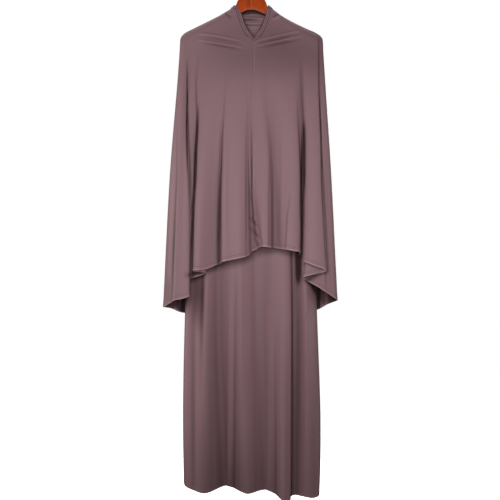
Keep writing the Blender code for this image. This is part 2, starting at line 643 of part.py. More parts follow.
def make_hood(material, nape):
    """From the neck seam up and over, down to the fold, and up again to the rim."""
    angle = hood_angles()
    fill = np.maximum((np.sin(angle) - np.sin(angle[0])) / (1 - np.sin(angle[0])), 0.0)
    shares = np.linspace(HOOD_CORNER_SHARE, 1 - HOOD_CORNER_SHARE, HOOD_COLUMNS + 1)
    seam = along_edge(nape, shares)
    seam[:, 2] += 2 * SEAM_GAP
    rim = rim_path(angle)
    rim[:, 2] -= SEAM_GAP
    depth = HOOD_CORNER_DEPTH + (HOOD_DEPTH - HOOD_CORNER_DEPTH) * np.sqrt(fill)
    apart = HOOD_CORNER_APART + (HOOD_APART - HOOD_CORNER_APART) * np.sqrt(fill)

    def layer(share, away):
        """A row at a share of the depth, away from the layer that lies on the cape's back."""
        z = seam[:, 2] - depth * share
        x = seam[:, 0] * (1 + HOOD_SPREAD * share)
        rest = cape_depth(x, z) + HOOD_BACK_CLEAR + HOOD_LIFT * ease((-z - HOOD_LIFT_FROM) / HOOD_LIFT_OVER)
        return np.stack([x, rest + away * apart, z], axis=1)

    rise = seam + np.array([0.0, 2 * SEAM_GAP, HOOD_RISE])
    over = rise + np.array([0.0, HOOD_TURN, 2 * SEAM_GAP])
    levels = [seam, rise, over] + [layer(row.share, row.away) for row in HOOD_LAYERS] + [rim]
    points = np.array(levels)
    outward = outward_of(points, 2 * points[:, 0] - points[:, 1], 2 * points[:, -1] - points[:, -2])
    cloth_wall("hijab_hood", points, outward, material)


def band_front(side):
    """The band's seam and free edge on one side of the V, from its foot up."""
    seam = []
    edge = []
    for station in V_BAND:
        half = max(v_half(station.seam_z) - 2 * SEAM_GAP, SEAM_GAP / 2)
        seam_x = v_lean(station.seam_z) + side * half
        edge_x = v_lean(station.edge_z) + side * max(station.edge_half, SEAM_GAP / 2)
        seam.append((seam_x, -float(cape_depth(seam_x, station.seam_z)), station.seam_z))
        edge.append((edge_x, -float(cape_depth(edge_x, station.edge_z)), station.edge_z))
    return np.array(seam), np.array(edge)


def band_over(side, front_top, nape):
    """The band where it crosses the hanger, from the V's top to the hood's corner."""
    before = front_top if side > 0 else front_top[::-1]
    behind = nape if side > 0 else nape[::-1]
    over = along_edge(before, [row.share for row in RIDGE_BEFORE])
    past = along_edge(behind, [row.share for row in RIDGE_BEHIND])
    seam = np.concatenate([over, past])
    rows = RIDGE_BEFORE + RIDGE_BEHIND
    edge = np.array([(-row.right if side < 0 else row.left, row.y, row.z) for row in rows])
    return seam + unit(edge - seam) * BAND_STEP_IN, edge


def make_face_band(material, left_top, nape, right_top):
    """One strip: up one side of the V, over the neck, round the hood's rim and down the other side."""
    left_seam, left_edge = band_front(1)
    right_seam, right_edge = band_front(-1)
    over_left_seam, over_left_edge = band_over(1, left_top, nape)
    over_right_seam, over_right_edge = band_over(-1, right_top, nape)
    rim = rim_path(hood_angles())
    upright = rim + np.array([0.0, -BAND_LEAN, BAND_WIDTH])
    upright[:, 0] *= BAND_CURL
    seam = np.concatenate([left_seam, over_left_seam, rim, over_right_seam[::-1], right_seam[::-1]])
    edge = np.concatenate([left_edge, over_left_edge, upright, over_right_edge[::-1], right_edge[::-1]])
    points = np.array([edge, (seam + edge) / 2, seam])
    outward = outward_of(points, 2 * points[:, 0] - points[:, 1], 2 * points[:, -1] - points[:, -2])
    cloth_wall("hijab_face_band", points, outward, material, BAND_CLOTH)


def armhole(z, side, face):
    """The point of the armhole at height z. face is -1 at the front and 1 behind."""
    slant = armhole_slant(z)
    crown_x = half_width(side, CROWN_Z, CAPE_SKIN - DRESS_SKIN)
    x = UNDERARM_X + (crown_x - UNDERARM_X) * (1 + slant) / 2
    return np.array([side * x, face * float(dress_depth(side * x, z)) * closing(slant), z])


def armhole_slant(z):
    """1 at the armhole's crown, -1 at the underarm."""
    middle = (CROWN_Z + UNDERARM_Z) / 2
    return np.clip((z - middle) / (CROWN_Z - middle), -1.0, 1.0)


def closing(slant):
    """How far the front and the back still stand apart, on the way down to the underarm."""
    return np.maximum(1 - np.minimum(slant, 0.0) ** 2, 0.0) ** 0.25


def dress_rows(table, face):
    """Middle points of the dress's front (face -1) or back (face 1), in the table's order."""
    knee = table_curve(table, ("knee_x", "knee_y"), KNEE_Z)
    hem = table_curve(table, ("hem_x", "hem_y"), None)
    ends = np.where(knee[:, 0] < 0, -min(knee[0, 0], knee[-1, 0]), max(knee[0, 0], knee[-1, 0]))
    share = knee[:, 0] / ends
    middle = int(np.argmin(np.abs(share)))
    sides = np.where(np.arange(len(share)) < middle, -1, 1) * (-face)
    levels = []
    for z in DRESS_YOKE_Z:
        edge = {}
        for side in (-1, 1):
            if z > CROWN_Z:
                edge[side] = half_width(side, z, CAPE_SKIN - DRESS_SKIN)
            else:
                edge[side] = abs(armhole(z, side, face)[0])
        widths = np.where(sides < 0, edge[-1], edge[1])
        x = share * widths
        if face < 0 and z > DRESS_NECK_Z:
            neck = np.interp(-z, [-row.z for row in DRESS_NECK], [row.half for row in DRESS_NECK])
            start = np.where(sides < 0, -share[middle - 1], share[middle + 1])
            part = np.maximum(np.abs(share) - start, 0.0) / (1 - start)
            x = sides * (neck + (widths - neck) * part)
        dip = DRESS_NAPE_DIP * (1 - share**4) * (1 - ease((DRESS_YOKE_Z[0] - z) / NAPE_FADE))
        heights = z - dip * (face > 0)
        y = face * dress_depth(x, heights)
        if z < CROWN_Z:
            apart = float(closing(armhole_slant(z)))
            near = np.clip((np.abs(share) - SIDE_ROUND_FROM) / (1 - SIDE_ROUND_FROM), 0.0, 1.0)
            y = y * (apart + (1 - apart) * np.sqrt(1 - near**2))
        levels.append(np.stack([x, y, heights], axis=1))
    fall = smooth([levels[-1], knee, hem], [DRESS_UPPER_STEPS, DRESS_LOWER_STEPS])
    points = np.concatenate([np.array(levels[:-1]), fall])
    below_knee = np.clip((KNEE_Z - points[..., 2]) / (KNEE_Z - hem[:, 2]), 0.0, 1.0)
    bow = np.where(points[..., 0] < 0, -SIDE_BOW[-1], SIDE_BOW[1])
    points[..., 0] += bow * np.sin(np.pi * below_knee**SIDE_BOW_LOW) * np.abs(share) ** 4
    return points, middle


def dress_grids():
    """The dress's front and back with their normals, joined at the shoulders and the side seams."""
    front, middle = dress_rows(DRESS_FRONT, -1)
    back, _ = dress_rows(DRESS_BACK, 1)
    crown = DRESS_YOKE_Z.index(CROWN_Z)
    underarm = DRESS_YOKE_Z.index(UNDERARM_Z)
    shut = list(range(crown + 1)) + list(range(underarm, len(front)))
    back[shut, 0] = front[shut, -1]
    back[shut, -1] = front[shut, 0]
    arms = list(range(crown + 1, underarm))
    beside_front = [back[:, -2].copy(), back[:, 1].copy()]
    beside_back = [front[:, -2].copy(), front[:, 1].copy()]
    for end, column in enumerate((0, -1)):
        beside_front[end][arms] = front[arms, column]
        beside_back[end][arms] = back[arms, column]
    front_out = outward_of(front, *beside_front)
    back_out = outward_of(back, *beside_back)
    rows = [row for row, z in enumerate(DRESS_YOKE_Z) if z > CROWN_Z or armhole_slant(z) >= 0]
    for points, normals, face in ((front, front_out, -1), (back, back_out, 1)):
        normals[rows] = dress_normal(points[rows, :, 0], points[rows, :, 2], face)
    return front, front_out, back, back_out, middle


def sleeve_grid(side, front, back):
    """A tube from the armhole to the cuff, with a column for each row of the armhole's edge."""
    crown = DRESS_YOKE_Z.index(CROWN_Z)
    underarm = DRESS_YOKE_Z.index(UNDERARM_Z)
    front_edge = front[crown : underarm + 1, -1 if side > 0 else 0]
    back_edge = back[crown + 1 : underarm, 0 if side > 0 else -1]
    edge = np.concatenate([front_edge, back_edge[::-1]])
    face = np.array([-1.0] * len(front_edge) + [1.0] * len(back_edge))
    slant = armhole_slant(edge[:, 2])
    round_y = np.sqrt(1 - slant * slant)
    rings = [edge.copy()]
    rings[0][:, 0] += side * UNDERARM_CLEAR * ease((UNDERARM_CLEAR_FROM - slant) / UNDERARM_CLEAR_OVER)
    for ring in SLEEVE_RINGS:
        x = side * (ring.x + ring.half_x * slant)
        z = ring.z + ring.half_z * slant
        y = dress_depth(x, z) * closing(slant)
        if ring.half_y is not None:
            y = ring.half_y * round_y
        rings.append(np.stack([x, face * y, z], axis=1))
    points = smooth(rings, SLEEVE_STEPS)
    level = np.stack([side * slant, face * round_y, np.zeros_like(slant)], axis=1)
    outward = np.repeat(level[None], len(points), axis=0)
    upper = slant >= 0
    outward[0, upper] = dress_normal(points[0, upper, 0], points[0, upper, 2], face[upper])
    around = unit(np.roll(points[0], -1, axis=0) - np.roll(points[0], 1, axis=0))
    down = points[1] - points[0]
    apart = unit(down - around * np.sum(down * around, axis=1, keepdims=True))
    points[0] += apart * 2 * SEAM_GAP
    return points, outward


def make_dress(material):
    front, front_out, back, back_out, middle = dress_grids()
    neck_row = DRESS_YOKE_Z.index(DRESS_NECK_Z)
    no_cloth = {(row, middle) for row in range(neck_row)}
    cloth_wall("abaya_front", part_at_seams(front), front_out, material, left_out=no_cloth)
    cloth_wall("abaya_back", part_at_seams(back), back_out, material)
    cloth_wall("abaya_sleeve_left", *sleeve_grid(1, front, back), material, closed=True)
    cloth_wall("abaya_sleeve_right", *sleeve_grid(-1, front, back), material, closed=True)
    make_neck_binding(material, front, back, middle, neck_row)


def make_neck_binding(material, front, back, middle, neck_row):
    """A strip round the dress's neckline, inside its edge."""
    left = front[: neck_row + 1, middle + 1][::-1]
    right = front[: neck_row + 1, middle - 1]
    left_over = front[0, middle + 3 : -1 : 4]
    right_over = front[0, 1 : middle - 2 : 4]
    seam = np.concatenate([left, left_over, back[0, 1:-1], right_over, right])
    across = np.clip(np.abs(seam[:, 0]) / DRESS_NECK[0].half, 0.0, 1.0)
    behind = seam[:, 1] > 0
    down = np.clip((DRESS_NECK[0].z - seam[:, 2]) / (DRESS_NECK[0].z - DRESS_NECK_Z), 0.0, 1.0)
    front_climb = BINDING_CLIMB + (BINDING_CLIMB_FRONT - BINDING_CLIMB) * down**2
    climb = np.where(behind, np.sqrt(1 - np.minimum(across, BINDING_CLIMB_CORNER) ** 4), front_climb)
    inward = np.stack([-np.sign(seam[:, 0]) * np.sqrt(1 - climb**2), np.zeros_like(climb), climb], axis=1)
    points = np.array([seam + inward * BINDING_WIDTH, seam + inward * 2 * SEAM_GAP])
    outward = outward_of(points, points[:, -1], points[:, 0])
    cloth_wall("abaya_neck_binding", points, outward, material, closed=True)


def wood_section(x, side, half, top, under):
    """One section across the wood: a round top and eased lower corners."""
    ring = []
    rise = min(half * ROUND_TOP_STRETCH, (top - under) * ROUND_TOP_SHARE)
    corner = min(half, top - under) * EASED_CORNER
    over = WOOD_SECTION_POINTS // 2
    for i in range(over + 1):
        angle = math.pi * i / over
        ring.append(Vector((side * x, half * math.cos(angle), top - rise + rise * math.sin(angle))))
    flat = half - corner
    for y, z in ((-half, under + corner), (-flat, under), (flat, under), (half, under + corner)):
        ring.append(Vector((side * x, y, z)))
    return ring


def arm_stations(side):
    """Sections of one half of the hanger: distance out, half thickness, top and underside."""
    stations = [(row.x, NECK_HALF_THICK, row.top, row.under) for row in HANGER_NECK]
    neck_x = HANGER_NECK[-1].x
    ridge = outline_points(side, CAPE_SKIN + SEAM_GAP)
    ridge = ridge[(np.abs(ridge[:, 0]) > neck_x + ARM_FROM) & (ridge[:, 1] > ARM_TO_Z)]
    end = float(np.max(np.abs(ridge[:, 0]))) - ARM_END_CLEAR
    for x, z in zip(np.minimum(np.abs(ridge[:, 0]), end), ridge[:, 1]):
        out = (x - neck_x) / (end - neck_x)
        depth = ARM_DEPTH_AT_NECK + (ARM_DEPTH_AT_END - ARM_DEPTH_AT_NECK) * out
        half = float(hanger_half(x))
        turn = 1 - min((end - x) / half, 1.0)
        tapered = half * math.sqrt(max(1 - turn * turn, ARM_TIP_SHARE))
        stations.append((float(x), tapered, float(z), float(z) - depth))
    return stations


def make_hanger_arm(name, side, material):
    """One half of the hanger, lofted through its sections."""
    mesh = bmesh.new()
    loops = []
    for x, half, top, under in arm_stations(side):
        loops.append([mesh.verts.new(point) for point in wood_section(x, side, half, top, under)])
    for near, far in zip(loops[:-1], loops[1:]):
        for i, corner in enumerate(near):
            j = (i + 1) % len(near)
            mesh.faces.new([corner, near[j], far[j], far[i]])
    mesh.faces.new(loops[0])
    mesh.faces.new(loops[-1])
    return finish_mesh(name, mesh, material)


def make_hook(material):
    """A bent wire: a shank from the wood's top, round the rail and down to an open tip."""
    wire_radius = HOOK_RADIUS + HOOK_WIRE
    wood_top = HANGER_NECK[0].top
    points = [(0.0, 0.0, wood_top + SEAM_GAP), (0.0, 0.0, wood_top + HOOK_SHANK)]
    start = math.radians(HOOK_SHANK_ANGLE)
    turn = math.radians(HOOK_TIP_ANGLE) - start
    for i in range(HOOK_PARTS + 1):
        angle = start + turn * i / HOOK_PARTS
        points.append((wire_radius * math.cos(angle), 0.0, -HOOK_RADIUS + wire_radius * math.sin(angle)))
    curve = bpy.data.curves.new("hanger_hook", "CURVE")
    curve.dimensions = "3D"
    curve.bevel_depth = HOOK_WIRE
    curve.bevel_resolution = 2
    curve.use_fill_caps = True
    spline = curve.splines.new("POLY")
    path = smooth(points, HOOK_SHANK_STEPS + [1] * HOOK_PARTS)
    spline.points.add(len(path) - 1)
    for point, place in zip(spline.points, path):
        point.co = (*place, 1.0)
    curve.materials.append(material)
    hook = bpy.data.objects.new("hanger_hook", curve)
    bpy.context.scene.collection.objects.link(hook)


def main():
    clear_scene()
    jersey = make_material("jersey", JERSEY)
    wood = make_material("hanger_wood", WOOD)
    steel = make_material("hook_steel", STEEL)
    left_top, nape, right_top = make_cape(jersey)
    make_hood(jersey, nape)
    make_face_band(jersey, left_top, nape, right_top)
    make_dress(jersey)
    make_hanger_arm("hanger_arm_left", 1, wood)
    make_hanger_arm("hanger_arm_right", -1, wood)
    make_hook(steel)


main()
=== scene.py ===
"""Abaya with hijab, dressed: the cloth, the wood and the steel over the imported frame.

Metres, +Z up, and the front faces -Y, so the wearer's left is +X. Each piece of cloth is a thin
shell through a fine grid of points: rows run down from the neck and columns run round the body.
"""

import math
from collections import namedtuple

import bpy
import numpy as np
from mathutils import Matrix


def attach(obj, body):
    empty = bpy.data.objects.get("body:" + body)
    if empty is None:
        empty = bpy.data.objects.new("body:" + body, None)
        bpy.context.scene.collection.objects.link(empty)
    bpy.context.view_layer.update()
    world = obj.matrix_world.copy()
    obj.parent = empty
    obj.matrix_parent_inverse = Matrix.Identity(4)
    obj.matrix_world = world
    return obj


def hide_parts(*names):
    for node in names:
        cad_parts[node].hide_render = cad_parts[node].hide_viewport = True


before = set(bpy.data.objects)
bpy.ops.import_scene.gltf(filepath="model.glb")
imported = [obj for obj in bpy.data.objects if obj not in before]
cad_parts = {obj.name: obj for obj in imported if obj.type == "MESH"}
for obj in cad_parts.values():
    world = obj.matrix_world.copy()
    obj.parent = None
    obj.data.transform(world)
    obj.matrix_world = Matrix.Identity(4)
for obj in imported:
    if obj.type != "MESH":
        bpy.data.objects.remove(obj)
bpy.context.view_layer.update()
bpy.ops.object.select_all(action="DESELECT")

# The view. The camera stands 2.6 m in front of the garment, level with its middle, and its picture
# is 1.5 m wide at the hanger. The picture's top edge cuts off the hook.
VIEW_MIDDLE_X = -0.0045
VIEW_MIDDLE_Z = -0.834
VIEW_DISTANCE = 2.6
VIEW_WIDTH = 1.5
SENSOR = 36.0

camera_place = (VIEW_MIDDLE_X, -VIEW_DISTANCE, VIEW_MIDDLE_Z)
bpy.ops.object.camera_add(location=camera_place, rotation=(math.pi / 2, 0, 0))
camera = bpy.context.object
camera.name = "camera"
camera.data.sensor_width = SENSOR
camera.data.lens = SENSOR * VIEW_DISTANCE / VIEW_WIDTH
bpy.context.scene.camera = camera
bpy.context.scene.view_settings.view_transform = "Standard"

# The studio. A soft light stands before the garment at the height of the cape's folds, so it fades towards
# the shoulders and the hem. Others light it from above, behind and both sides, over a plain white floor.
FLOOR_Z = -1.66
FLOOR_SIZE = 6.0
FLOOR_PALE = (0.9, 0.9, 0.9, 1.0)
WORLD_FILL = 0.07
WHITE = (1.0, 1.0, 1.0)
WARM = (1.0, 0.94, 0.90)
SoftLight = namedtuple("SoftLight", "name place aim_z size watts colour")
SOFT_LIGHTS = [
    SoftLight("front_light", (-0.05, -1.25, -0.58), -0.60, (0.5, 0.8), 14.9, WHITE),
    SoftLight("top_light", (0.0, 0.30, 1.20), -0.20, (1.2, 0.3), 16.0, WHITE),
    SoftLight("back_light", (0.2, 1.6, -0.55), -0.75, (1.2, 1.0), 30.0, WHITE),
    SoftLight("side_light_left", (1.6, 0.1, -0.75), -0.80, (0.6, 1.4), 9.0, WARM),
    SoftLight("side_light_right", (-1.6, 0.1, -0.75), -0.80, (0.6, 1.4), 17.0, WARM),
]


class Paint:
    """A value in a material. Sums and products of values add Math nodes, and node() adds any other node."""

    def __init__(self, tree, socket=None):
        self.tree = tree
        self.socket = socket

    def node(self, kind, settings=None, sockets=None, out=0):
        """Add a node: its settings first, then the values or links of its sockets."""
        made = self.tree.nodes.new(kind)
        for name, value in (settings or {}).items():
            if name == "stops":
                ramp = made.color_ramp.elements
                for place, colour in value[2:]:
                    ramp.new(place)
                in_order = sorted(ramp, key=lambda item: item.position)
                for stop, (place, colour) in zip(in_order, sorted(value)):
                    stop.position = place
                    stop.color = colour
            else:
                setattr(made, name, value)
        for key, value in (sockets or {}).items():
            if isinstance(value, Paint):
                self.tree.links.new(value.socket, made.inputs[key])
            else:
                made.inputs[key].default_value = value
        return Paint(self.tree, made.outputs[out])

    def maths(self, operation, first, second=0.0):
        return self.node("ShaderNodeMath", {"operation": operation}, {0: first, 1: second})

    def __add__(self, other):
        return self.maths("ADD", self, other)

    def __sub__(self, other):
        return self.maths("SUBTRACT", self, other)

    def __mul__(self, other):
        return self.maths("MULTIPLY", self, other)

    def __truediv__(self, other):
        return self.maths("DIVIDE", self, other)

    def __radd__(self, other):
        return self.maths("ADD", other, self)

    def __rsub__(self, other):
        return self.maths("SUBTRACT", other, self)

    def __rmul__(self, other):
        return self.maths("MULTIPLY", other, self)

    def __abs__(self):
        return self.maths("ABSOLUTE", self)


world = bpy.data.worlds.new("studio")
world.use_nodes = True
bpy.context.scene.world = world
air = Paint(world.node_tree)
seen = air.node("ShaderNodeLightPath", out="Is Camera Ray")
background = world.node_tree.nodes["Background"]
background.inputs["Color"].default_value = (*WHITE, 1.0)
brightness = seen * (1 - WORLD_FILL) + WORLD_FILL
world.node_tree.links.new(brightness.socket, background.inputs["Strength"])

bpy.ops.mesh.primitive_plane_add(size=FLOOR_SIZE, location=(0, 0, FLOOR_Z))
floor = bpy.context.object
floor.name = "floor"
floor.visible_diffuse = False
floor.visible_glossy = False
pale = bpy.data.materials.new("pale_floor")
pale.use_nodes = True
shader = pale.node_tree.nodes["Principled BSDF"]
shader.inputs["Base Color"].default_value = FLOOR_PALE
shader.inputs["Emission Color"].default_value = (*WHITE, 1.0)
shader.inputs["Emission Strength"].default_value = 1.0
floor.data.materials.append(pale)

for light in SOFT_LIGHTS:
    bpy.ops.object.light_add(type="AREA", location=light.place)
    lamp = bpy.context.object
    lamp.name = light.name
    lamp.data.shape = "RECTANGLE"
    lamp.data.size, lamp.data.size_y = light.size
    lamp.data.energy = light.watts
    lamp.data.color = light.colour
    from_garment = lamp.location.copy()
    from_garment.z = light.place[2] - light.aim_z
    lamp.rotation_euler = from_garment.to_track_quat("Z", "Y").to_euler()
    lamp.visible_camera = False

# The hanger: two halves of red-stained, varnished wood, glued at the middle. The top edge of each half is
# round and carries both garments, so its shape is the shoulders' line. The underside is flat, with painted
# shade on it.
NECK_HALF_THICK = 0.009
ARM_HALF_THICK = 0.018
ARM_SWELL_FROM = 0.05
ARM_SWELL_TO = 0.19
CAPE_SKIN = 0.0050
SEAM_GAP = 0.0003
Outline = namedtuple("Outline", "z right left")
CAPE_OUTLINE = [
    Outline(-0.0995, 0.0010, 0.0010),
    Outline(-0.1008, 0.0465, 0.0480),
    Outline(-0.1060, 0.0550, 0.0565),
    Outline(-0.1120, 0.0632, 0.0640),
    Outline(-0.1200, 0.0760, 0.0735),
    Outline(-0.1325, 0.0972, 0.0905),
    Outline(-0.1500, 0.1310, 0.1210),
    Outline(-0.1700, 0.1714, 0.1617),
    Outline(-0.1870, 0.2028, 0.1987),
    Outline(-0.2000, 0.2125, 0.2118),
    Outline(-0.2130, 0.2140, 0.2140),
    Outline(-0.2350, 0.2150, 0.2148),
    Outline(-0.2800, 0.2185, 0.2180),
    Outline(-0.3370, 0.2225, 0.2215),
    Outline(-0.6000, 0.2440, 0.2385),
]
Station = namedtuple("Station", "x top under")
HANGER_NECK = [
    Station(0.00001, -0.0600, -0.1165),
    Station(0.0120, -0.0612, -0.1180),
    Station(0.0220, -0.0645, -0.1217),
    Station(0.0300, -0.0695, -0.1258),
    Station(0.0360, -0.0765, -0.1285),
    Station(0.0408, -0.0855, -0.1310),
    Station(0.0438, -0.0920, -0.1328),
    Station(0.0462, -0.0990, -0.1345),
    Station(0.0492, -0.1078, -0.1370),
]
ARM_DEPTH_AT_NECK = 0.028
ARM_DEPTH_AT_END = 0.030
ARM_END_CLEAR = 0.003
ARM_FROM = 0.006
ARM_TO_Z = -0.201
ARM_TIP_SHARE = 0.02
WOOD_SECTION_POINTS = 32
WOOD_CORNER_POWER = 0.32
WOOD_STEPS = 3
WOOD_EASED_END = 0.00012
SHARP_EDGE = math.radians(60)
WOOD_SMOOTH_BELOW = math.radians(40)


def unit(vectors):
    """Vectors of length one, along the last axis."""
    return vectors / np.maximum(np.linalg.norm(vectors, axis=-1, keepdims=True), 1e-9)


def between(a, b, a_at, b_at, at):
    """The point at `at` on the line that passes a at a_at and b at b_at."""
    return ((b_at - at) * a + (at - a_at) * b) / (b_at - a_at)


def smooth(points, steps):
    """A centripetal curve through points along their first axis, with steps[i] parts to gap i."""
    points = np.asarray(points, dtype=float)
    first = 2 * points[0] - points[1]
    last = 2 * points[-1] - points[-2]
    p = np.concatenate([first[None], points, last[None]])
    lengths = np.linalg.norm(np.diff(p, axis=0), axis=-1, keepdims=True)
    gaps = np.sqrt(np.maximum(lengths, 1e-6))
    knots = np.concatenate([np.zeros_like(gaps[:1]), np.cumsum(gaps, axis=0)])
    out = []
    for i in range(1, len(p) - 2):
        k0, k1, k2, k3 = knots[i - 1 : i + 3]
        for step in range(steps[i - 1]):
            at = k1 + (k2 - k1) * step / steps[i - 1]
            a = between(p[i - 1], p[i], k0, k1, at)
            b = between(p[i], p[i + 1], k1, k2, at)
            c = between(p[i + 1], p[i + 2], k2, k3, at)
            d = between(a, b, k0, k2, at)
            e = between(b, c, k1, k3, at)
            out.append(between(d, e, k1, k2, at))
    out.append(points[-1])
    return np.array(out)


def ease(value):
    """0 below 0, 1 above 1, smooth between."""
    t = np.clip(value, 0.0, 1.0)
    return t * t * (3 - 2 * t)


def hanger_half(x):
    """Half the wood's thickness, at a distance x from the middle."""
    swell = ease((np.abs(x) - ARM_SWELL_FROM) / (ARM_SWELL_TO - ARM_SWELL_FROM))
    return NECK_HALF_THICK + (ARM_HALF_THICK - NECK_HALF_THICK) * swell


def outline_points(side, inset):
    """The outline on one side as (x, z), moved in towards the garment's middle by inset."""
    points = np.array([[row.right if side < 0 else row.left, row.z] for row in CAPE_OUTLINE])
    along = unit(np.gradient(points, axis=0))
    inward = np.stack([along[:, 1], -along[:, 0]], axis=1)
    moved = points + inward * inset
    moved[:, 0] *= side
    return moved


def arm_stations(side):
    """Sections of one half of the hanger: distance out, half thickness, top and underside."""
    stations = [(row.x, NECK_HALF_THICK, row.top, row.under) for row in HANGER_NECK]
    neck_x = HANGER_NECK[-1].x
    ridge = outline_points(side, CAPE_SKIN + SEAM_GAP)
    ridge = ridge[(np.abs(ridge[:, 0]) > neck_x + ARM_FROM) & (ridge[:, 1] > ARM_TO_Z)]
    end = float(np.max(np.abs(ridge[:, 0]))) - ARM_END_CLEAR
    for x, z in zip(np.minimum(np.abs(ridge[:, 0]), end), ridge[:, 1]):
        out = (x - neck_x) / (end - neck_x)
        depth = ARM_DEPTH_AT_NECK + (ARM_DEPTH_AT_END - ARM_DEPTH_AT_NECK) * out
        half = float(hanger_half(x))
        turn = 1 - min((end - x) / half, 1.0)
        tapered = half * math.sqrt(max(1 - turn * turn, ARM_TIP_SHARE))
        stations.append((float(x), tapered, float(z), float(z) - depth))
    return smooth(np.array(stations), [WOOD_STEPS] * (len(stations) - 1))


def settle_piece(piece, name):
    """Name a piece, leave edit mode and put its place into its mesh."""
    if bpy.context.mode != "OBJECT":
        bpy.ops.object.mode_set(mode="OBJECT")
    piece.name = name
    piece.data.name = name
    bpy.ops.object.select_all(action="DESELECT")
    piece.select_set(True)
    bpy.context.view_layer.objects.active = piece
    bpy.ops.object.transform_apply(location=True, rotation=True, scale=True)


def apply_all(piece):
    """Apply every modifier, from the top."""
    bpy.context.view_layer.objects.active = piece
    for modifier in list(piece.modifiers):
        bpy.ops.object.modifier_apply(modifier=modifier.name)


def make_arm(name, side):
    """One half of the hanger: a rounded section, extruded from station to station out along the arm."""
    stations = arm_stations(side)
    bpy.ops.object.select_all(action="DESELECT")
    bpy.ops.mesh.primitive_circle_add(vertices=WOOD_SECTION_POINTS, radius=1.0, fill_type="NGON")
    arm = bpy.context.object
    x, half, top, under = stations[0]
    for vertex in arm.data.vertices:
        across, up = vertex.co.x, vertex.co.y
        if up < 0:
            up = -((-up) ** WOOD_CORNER_POWER)
            across = math.copysign(abs(across) ** WOOD_CORNER_POWER, across)
        vertex.co = (side * x, half * across, (top + under) / 2 + (top - under) / 2 * up)
    bpy.ops.object.mode_set(mode="EDIT")
    bpy.ops.mesh.select_all(action="SELECT")
    for before, after in zip(stations[:-1], stations[1:]):
        middle = (after[2] + after[3]) / 2
        step = (side * (after[0] - before[0]), 0.0, middle - (before[2] + before[3]) / 2)
        grow = (1.0, after[1] / before[1], (after[2] - after[3]) / (before[2] - before[3]))
        bpy.ops.mesh.extrude_region_move(TRANSFORM_OT_translate={"value": step})
        bpy.ops.transform.resize(value=grow, center_override=(side * after[0], 0.0, middle))
    bpy.ops.mesh.select_all(action="SELECT")
    bpy.ops.mesh.normals_make_consistent(inside=False)
    settle_piece(arm, name)
    bevel = arm.modifiers.new("eased_ends", "BEVEL")
    bevel.width = WOOD_EASED_END
    bevel.segments = 2
    bevel.limit_method = "ANGLE"
    bevel.angle_limit = SHARP_EDGE
    apply_all(arm)
    bpy.ops.object.shade_smooth_by_angle(angle=WOOD_SMOOTH_BELOW)
    return arm


def new_finish(name):
    """A material, its Principled shader and a hand to add nodes with."""
    finish = bpy.data.materials.new(name)
    finish.use_nodes = True
    return finish, finish.node_tree.nodes["Principled BSDF"], Paint(finish.node_tree)


def feed(paint, shader, name):
    """Link a value to one of the shader's sockets."""
    paint.tree.links.new(paint.socket, shader.inputs[name])


def clamped(value):
    """The same value, held between 0 and 1."""
    return value.node("ShaderNodeClamp", sockets={"Value": value})


def blended(share, first, second):
    """The first colour, with a share of the second."""
    return share.node("ShaderNodeMix", {"data_type": "RGBA"}, {0: share, 6: first, 7: second}, out=2)


def noise(place, scale, detail, distortion=0.0):
    """A soft uneven pattern over a piece, from 0 to 1."""
    sockets = {"Vector": place, "Scale": scale, "Detail": detail, "Distortion": distortion}
    return place.node("ShaderNodeTexNoise", sockets=sockets)


GLUE_X = 0.0002
GLUE_HALF = 0.0015
GLUE_SHARE = 0.5
GRAIN_SCALE = (150.0, 60.0, 24.0)
GRAIN_SHARE = 0.72
WOOD_CLOUDS = 26.0
UNDER_SHADE_GAIN = 2.2
WOOD_LIGHT = (0.520, 0.074, 0.005, 1.0)
WOOD_RED = (0.430, 0.052, 0.003, 1.0)
WOOD_DARK = (0.300, 0.034, 0.003, 1.0)
# Painted shade: the colour of the wood's underside.
WOOD_UNDER_SHADE = (0.050, 0.007, 0.003, 1.0)
GLUE_LINE = (0.720, 0.190, 0.050, 1.0)

stained_wood, shader, paint = new_finish("stained_wood")
shader.inputs["Specular IOR Level"].default_value = 0.14
shader.inputs["Coat Weight"].default_value = 0.06
shader.inputs["Coat Roughness"].default_value = 0.30
place = paint.node("ShaderNodeTexCoord", out="Object")
across = place.node("ShaderNodeSeparateXYZ", sockets={0: place}, out="X")
along_grain = place.node("ShaderNodeMapping", sockets={"Vector": place, "Scale": GRAIN_SCALE})
grain = noise(along_grain, 1.0, 6.0, distortion=0.6)
cloudy = noise(place, WOOD_CLOUDS, 3.0)
tone = place.node(
    "ShaderNodeValToRGB",
    {"stops": [(0.30, WOOD_DARK), (0.48, WOOD_RED), (0.66, WOOD_LIGHT)]},
    {"Fac": grain * GRAIN_SHARE + cloudy * (1 - GRAIN_SHARE)},
)
glue = clamped(1 - abs(across - GLUE_X) / GLUE_HALF)
facing = paint.node("ShaderNodeNewGeometry", out="Normal")
upward = paint.node("ShaderNodeSeparateXYZ", sockets={0: facing}, out="Z")
# Painted shade: faces that look down darken towards the underside's shade colour.
under = clamped(0 - upward * UNDER_SHADE_GAIN - 0.5)
glued = blended(glue * GLUE_SHARE, tone, GLUE_LINE)
feed(blended(under, glued, WOOD_UNDER_SHADE), shader, "Base Color")
feed(0.40 + cloudy * 0.16, shader, "Roughness")
pore_depth = {"Strength": 0.25, "Distance": 0.0003, "Height": grain}
pores = place.node("ShaderNodeBump", sockets=pore_depth, out="Normal")
feed(pores, shader, "Normal")

for name, side in (("hanger_arm_left", 1), ("hanger_arm_right", -1)):
    arm = make_arm(name + "_wood", side)
    arm.data.materials.append(stained_wood)
    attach(arm, "root")
    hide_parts(name)

